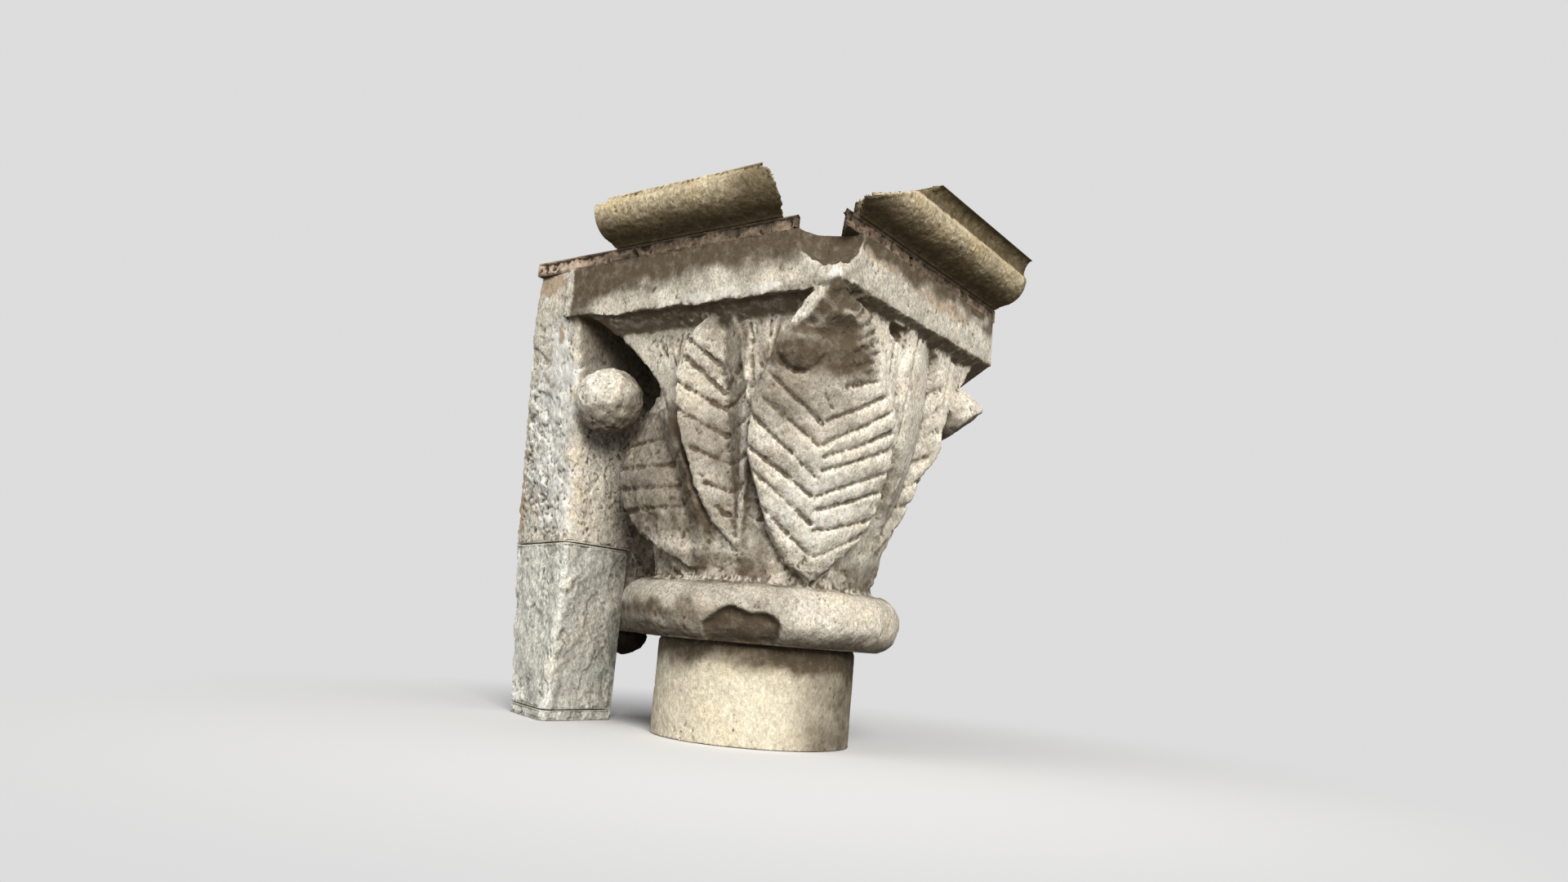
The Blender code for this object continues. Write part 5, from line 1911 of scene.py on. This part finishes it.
CAPITAL_FINISH = StoneFinish("capital_limestone", dark=(0.4, 0.36, 0.295), light=(0.84, 0.79, 0.68),
                             warm=(0.6, 0.52, 0.4))
JAMB_FINISH = StoneFinish("jamb_limestone", dark=(0.4, 0.395, 0.345), light=(0.82, 0.81, 0.73),
                          warm=(0.62, 0.58, 0.48), dirt_and_shade_amount=0.7)
SHAFT_FINISH = StoneFinish("shaft_limestone", dark=(0.56, 0.49, 0.365), light=(0.8, 0.735, 0.585),
                           warm=(0.66, 0.56, 0.385), speckle=0.6, pitting=0.35)
MORTAR_FINISH = StoneFinish("bedding_mortar", dark=(0.14, 0.095, 0.065), light=(0.42, 0.32, 0.23),
                            warm=(0.32, 0.21, 0.145), dirt_and_shade=(0.025, 0.018, 0.01), pitting=1.0,
                            ochre=(0.5, 0.4, 0.3))
MOULDING_FINISH = StoneFinish("moulding_limestone", dark=(0.26, 0.205, 0.115), light=(0.72, 0.625, 0.45),
                              warm=(0.42, 0.32, 0.16), dirt_and_shade=(0.085, 0.06, 0.027))
PACKING_FINISH = StoneFinish("joint_packing", dark=(0.07, 0.052, 0.035), light=(0.2, 0.16, 0.12),
                             warm=(0.13, 0.09, 0.06), dirt_and_shade=(0.015, 0.01, 0.006), pitting=1.0)


@dataclass
class Studio:
    """Pale floor, soft light and the camera at the photograph's angle."""

    azimuth: float = 35.95
    elevation: float = -10.22
    roll: float = 4.86
    lens: float = 24.44
    eye: tuple = (0.5603, -0.7582, 0.0902)
    backdrop: float = 0.72
    ambient: float = 0.24
    floor_seen: float = 0.85
    floor_bounce: float = 0.28
    aim: tuple = (0.0, 0.0, 0.25)
    lamps: tuple = (
        ("key", (2.0, -1.8, 1.3), 1.3, 108.0, (1.0, 0.985, 0.95)),
        ("fill", (-1.7, -2.3, 0.8), 1.8, 31.0, (0.98, 0.99, 1.0)),
        ("side", (2.4, -0.2, 1.2), 1.4, 8.0, (1.0, 0.99, 0.97)),
    )

    def camera(self) -> None:
        """Sets the camera."""
        turn, lift, roll = (math.radians(v) for v in (self.azimuth, self.elevation, self.roll))
        back = Vector((math.sin(turn) * math.cos(lift), -math.cos(turn) * math.cos(lift), math.sin(lift)))
        level = Vector((math.cos(turn), math.sin(turn), 0.0))
        up = back.cross(level)
        right = level * math.cos(roll) + up * math.sin(roll)
        above = up * math.cos(roll) - level * math.sin(roll)
        data = bpy.data.cameras.new("camera")
        data.lens = self.lens
        data.sensor_width = 36.0
        data.sensor_fit = "HORIZONTAL"
        data.clip_start, data.clip_end = 0.01, 100.0
        camera = bpy.data.objects.new("camera", data)
        camera.matrix_world = Matrix((
            (right.x, above.x, back.x, self.eye[0]), (right.y, above.y, back.y, self.eye[1]),
            (right.z, above.z, back.z, self.eye[2]), (0.0, 0.0, 0.0, 1.0),
        ))
        bpy.context.scene.collection.objects.link(camera)
        bpy.context.scene.camera = camera

    def floor(self) -> None:
        """Lays a wide pale floor under the stones, which meets the backdrop without a line."""
        bpy.ops.object.select_all(action="DESELECT")
        just_below = (0, 0, -0.0004)
        bpy.ops.mesh.primitive_circle_add(vertices=96, radius=30.0, fill_type="NGON", location=just_below)
        floor = Bench.named("floor")
        paint = bpy.data.materials.new("floor_paint")
        paint.use_nodes = True
        wire = Wiring(paint.node_tree)
        shader = paint.node_tree.nodes["Principled BSDF"]
        seen = wire.node("ShaderNodeLightPath").outputs["Is Camera Ray"]
        away = wire.node("ShaderNodeVectorMath", {0: wire.place()}, operation="LENGTH").outputs["Value"]
        far = wire.times(wire.span(away, 0.12, 0.65), seen)
        paint_seen = wire.span(seen, 0.0, 1.0, self.floor_bounce, self.floor_seen)
        near = wire.times(paint_seen, wire.less(1.0, far))
        wire.feed(shader.inputs["Base Color"], wire.grey(near))
        shader.inputs["Emission Color"].default_value = colour(1.0, 1.0, 1.0)
        wire.feed(shader.inputs["Emission Strength"], wire.times(far, self.backdrop))
        shader.inputs["Roughness"].default_value = 0.95
        shader.inputs["Specular IOR Level"].default_value = 0.0
        floor.data.materials.append(paint)

    def lamp(self, name: str, place: tuple, size: float, power: float, tint: tuple) -> None:
        """Hangs a soft square lamp that faces the capital.

        Args:
            name: name of the lamp.
            place: where it hangs.
            size: its side in metres.
            power: its power in watts.
            tint: its colour.
        """
        data = bpy.data.lights.new(name, "AREA")
        data.shape = "SQUARE"
        data.size = size
        data.energy = power
        data.color = tint
        lamp = bpy.data.objects.new(name, data)
        lamp.location = place
        lamp.rotation_mode = "QUATERNION"
        lamp.rotation_quaternion = (Vector(self.aim) - Vector(place)).to_track_quat("-Z", "Y")
        bpy.context.scene.collection.objects.link(lamp)

    def sky(self) -> None:
        """A plain pale backdrop that lights the stones less than it shows."""
        world = bpy.data.worlds.new("backdrop")
        bpy.context.scene.world = world
        world.use_nodes = True
        wire = Wiring(world.node_tree)
        ground = world.node_tree.nodes["Background"]
        ground.inputs["Color"].default_value = colour(1.0, 1.0, 1.0)
        seen = wire.node("ShaderNodeLightPath").outputs["Is Camera Ray"]
        wire.feed(ground.inputs["Strength"], wire.span(seen, 0.0, 1.0, self.ambient, self.backdrop))

    def build(self) -> None:
        """Sets the whole studio."""
        self.camera()
        self.floor()
        self.sky()
        for lamp in self.lamps:
            self.lamp(*lamp)
        bpy.context.scene.view_settings.view_transform = "Standard"


def dress(piece: Object, material: bpy.types.Material, node: str) -> None:
    """Gives a piece its finish and sets it in the place of its solid.

    Args:
        piece: the finished piece.
        material: its finish.
        node: the solid that it stands for, which is hidden.
    """
    piece.data.materials.clear()
    piece.data.materials.append(material)
    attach(piece, "root")
    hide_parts(node)
    at = Bench.points(piece)
    faces = len(piece.data.polygons)
    LOG.info("%s: %d faces, %s to %s", piece.name, faces, at.min(0).round(4), at.max(0).round(4))


def main() -> None:
    """Builds every stone, dresses it and sets the studio."""
    logging.basicConfig(level=logging.INFO, format="%(relativeCreated)d ms  %(message)s")
    groups = {
        "mottling": StoneEffects.mottling(), "grime_and_shade": StoneEffects.grime_and_shade(), "crust": StoneEffects.crust(),
    }
    foot = 0.0095
    jamb_finish = JAMB_FINISH.material(groups)
    moulding_finish = MOULDING_FINISH.material(groups)
    stones = (
        (CapitalStone(), CAPITAL_FINISH.material(groups), "capital_stone"),
        (JambStone("jamb_block", 60000, low=foot, high=BED + JAMB_JOINT - JOINT), jamb_finish, "jamb_stone"),
        (JambStone("jamb_foot_block", 16000, low=0.0, high=foot - JOINT), jamb_finish, "jamb_foot_stone"),
        (ShaftStub(), SHAFT_FINISH.material(groups), "shaft_stub"),
        (MortarBed(), MORTAR_FINISH.material(groups), "mortar_bed"),
        (Moulding("moulding_left", side=Side.LEFT), moulding_finish, "impost_left"),
        (Moulding("moulding_right", side=Side.RIGHT, height=0.0455, flare=0.0098), moulding_finish,
         "impost_right"),
        (PackingLump(), PACKING_FINISH.material(groups), "joint_packing"),
    )
    built = []
    for stone, material, node in stones:
        piece = stone.build()
        dress(piece, material, node)
        built.append(piece)
    StoneMarks.shelter(built, 10)
    LOG.info("marked what is sheltered")
    Studio().build()


if __name__ == "__main__":
    main()
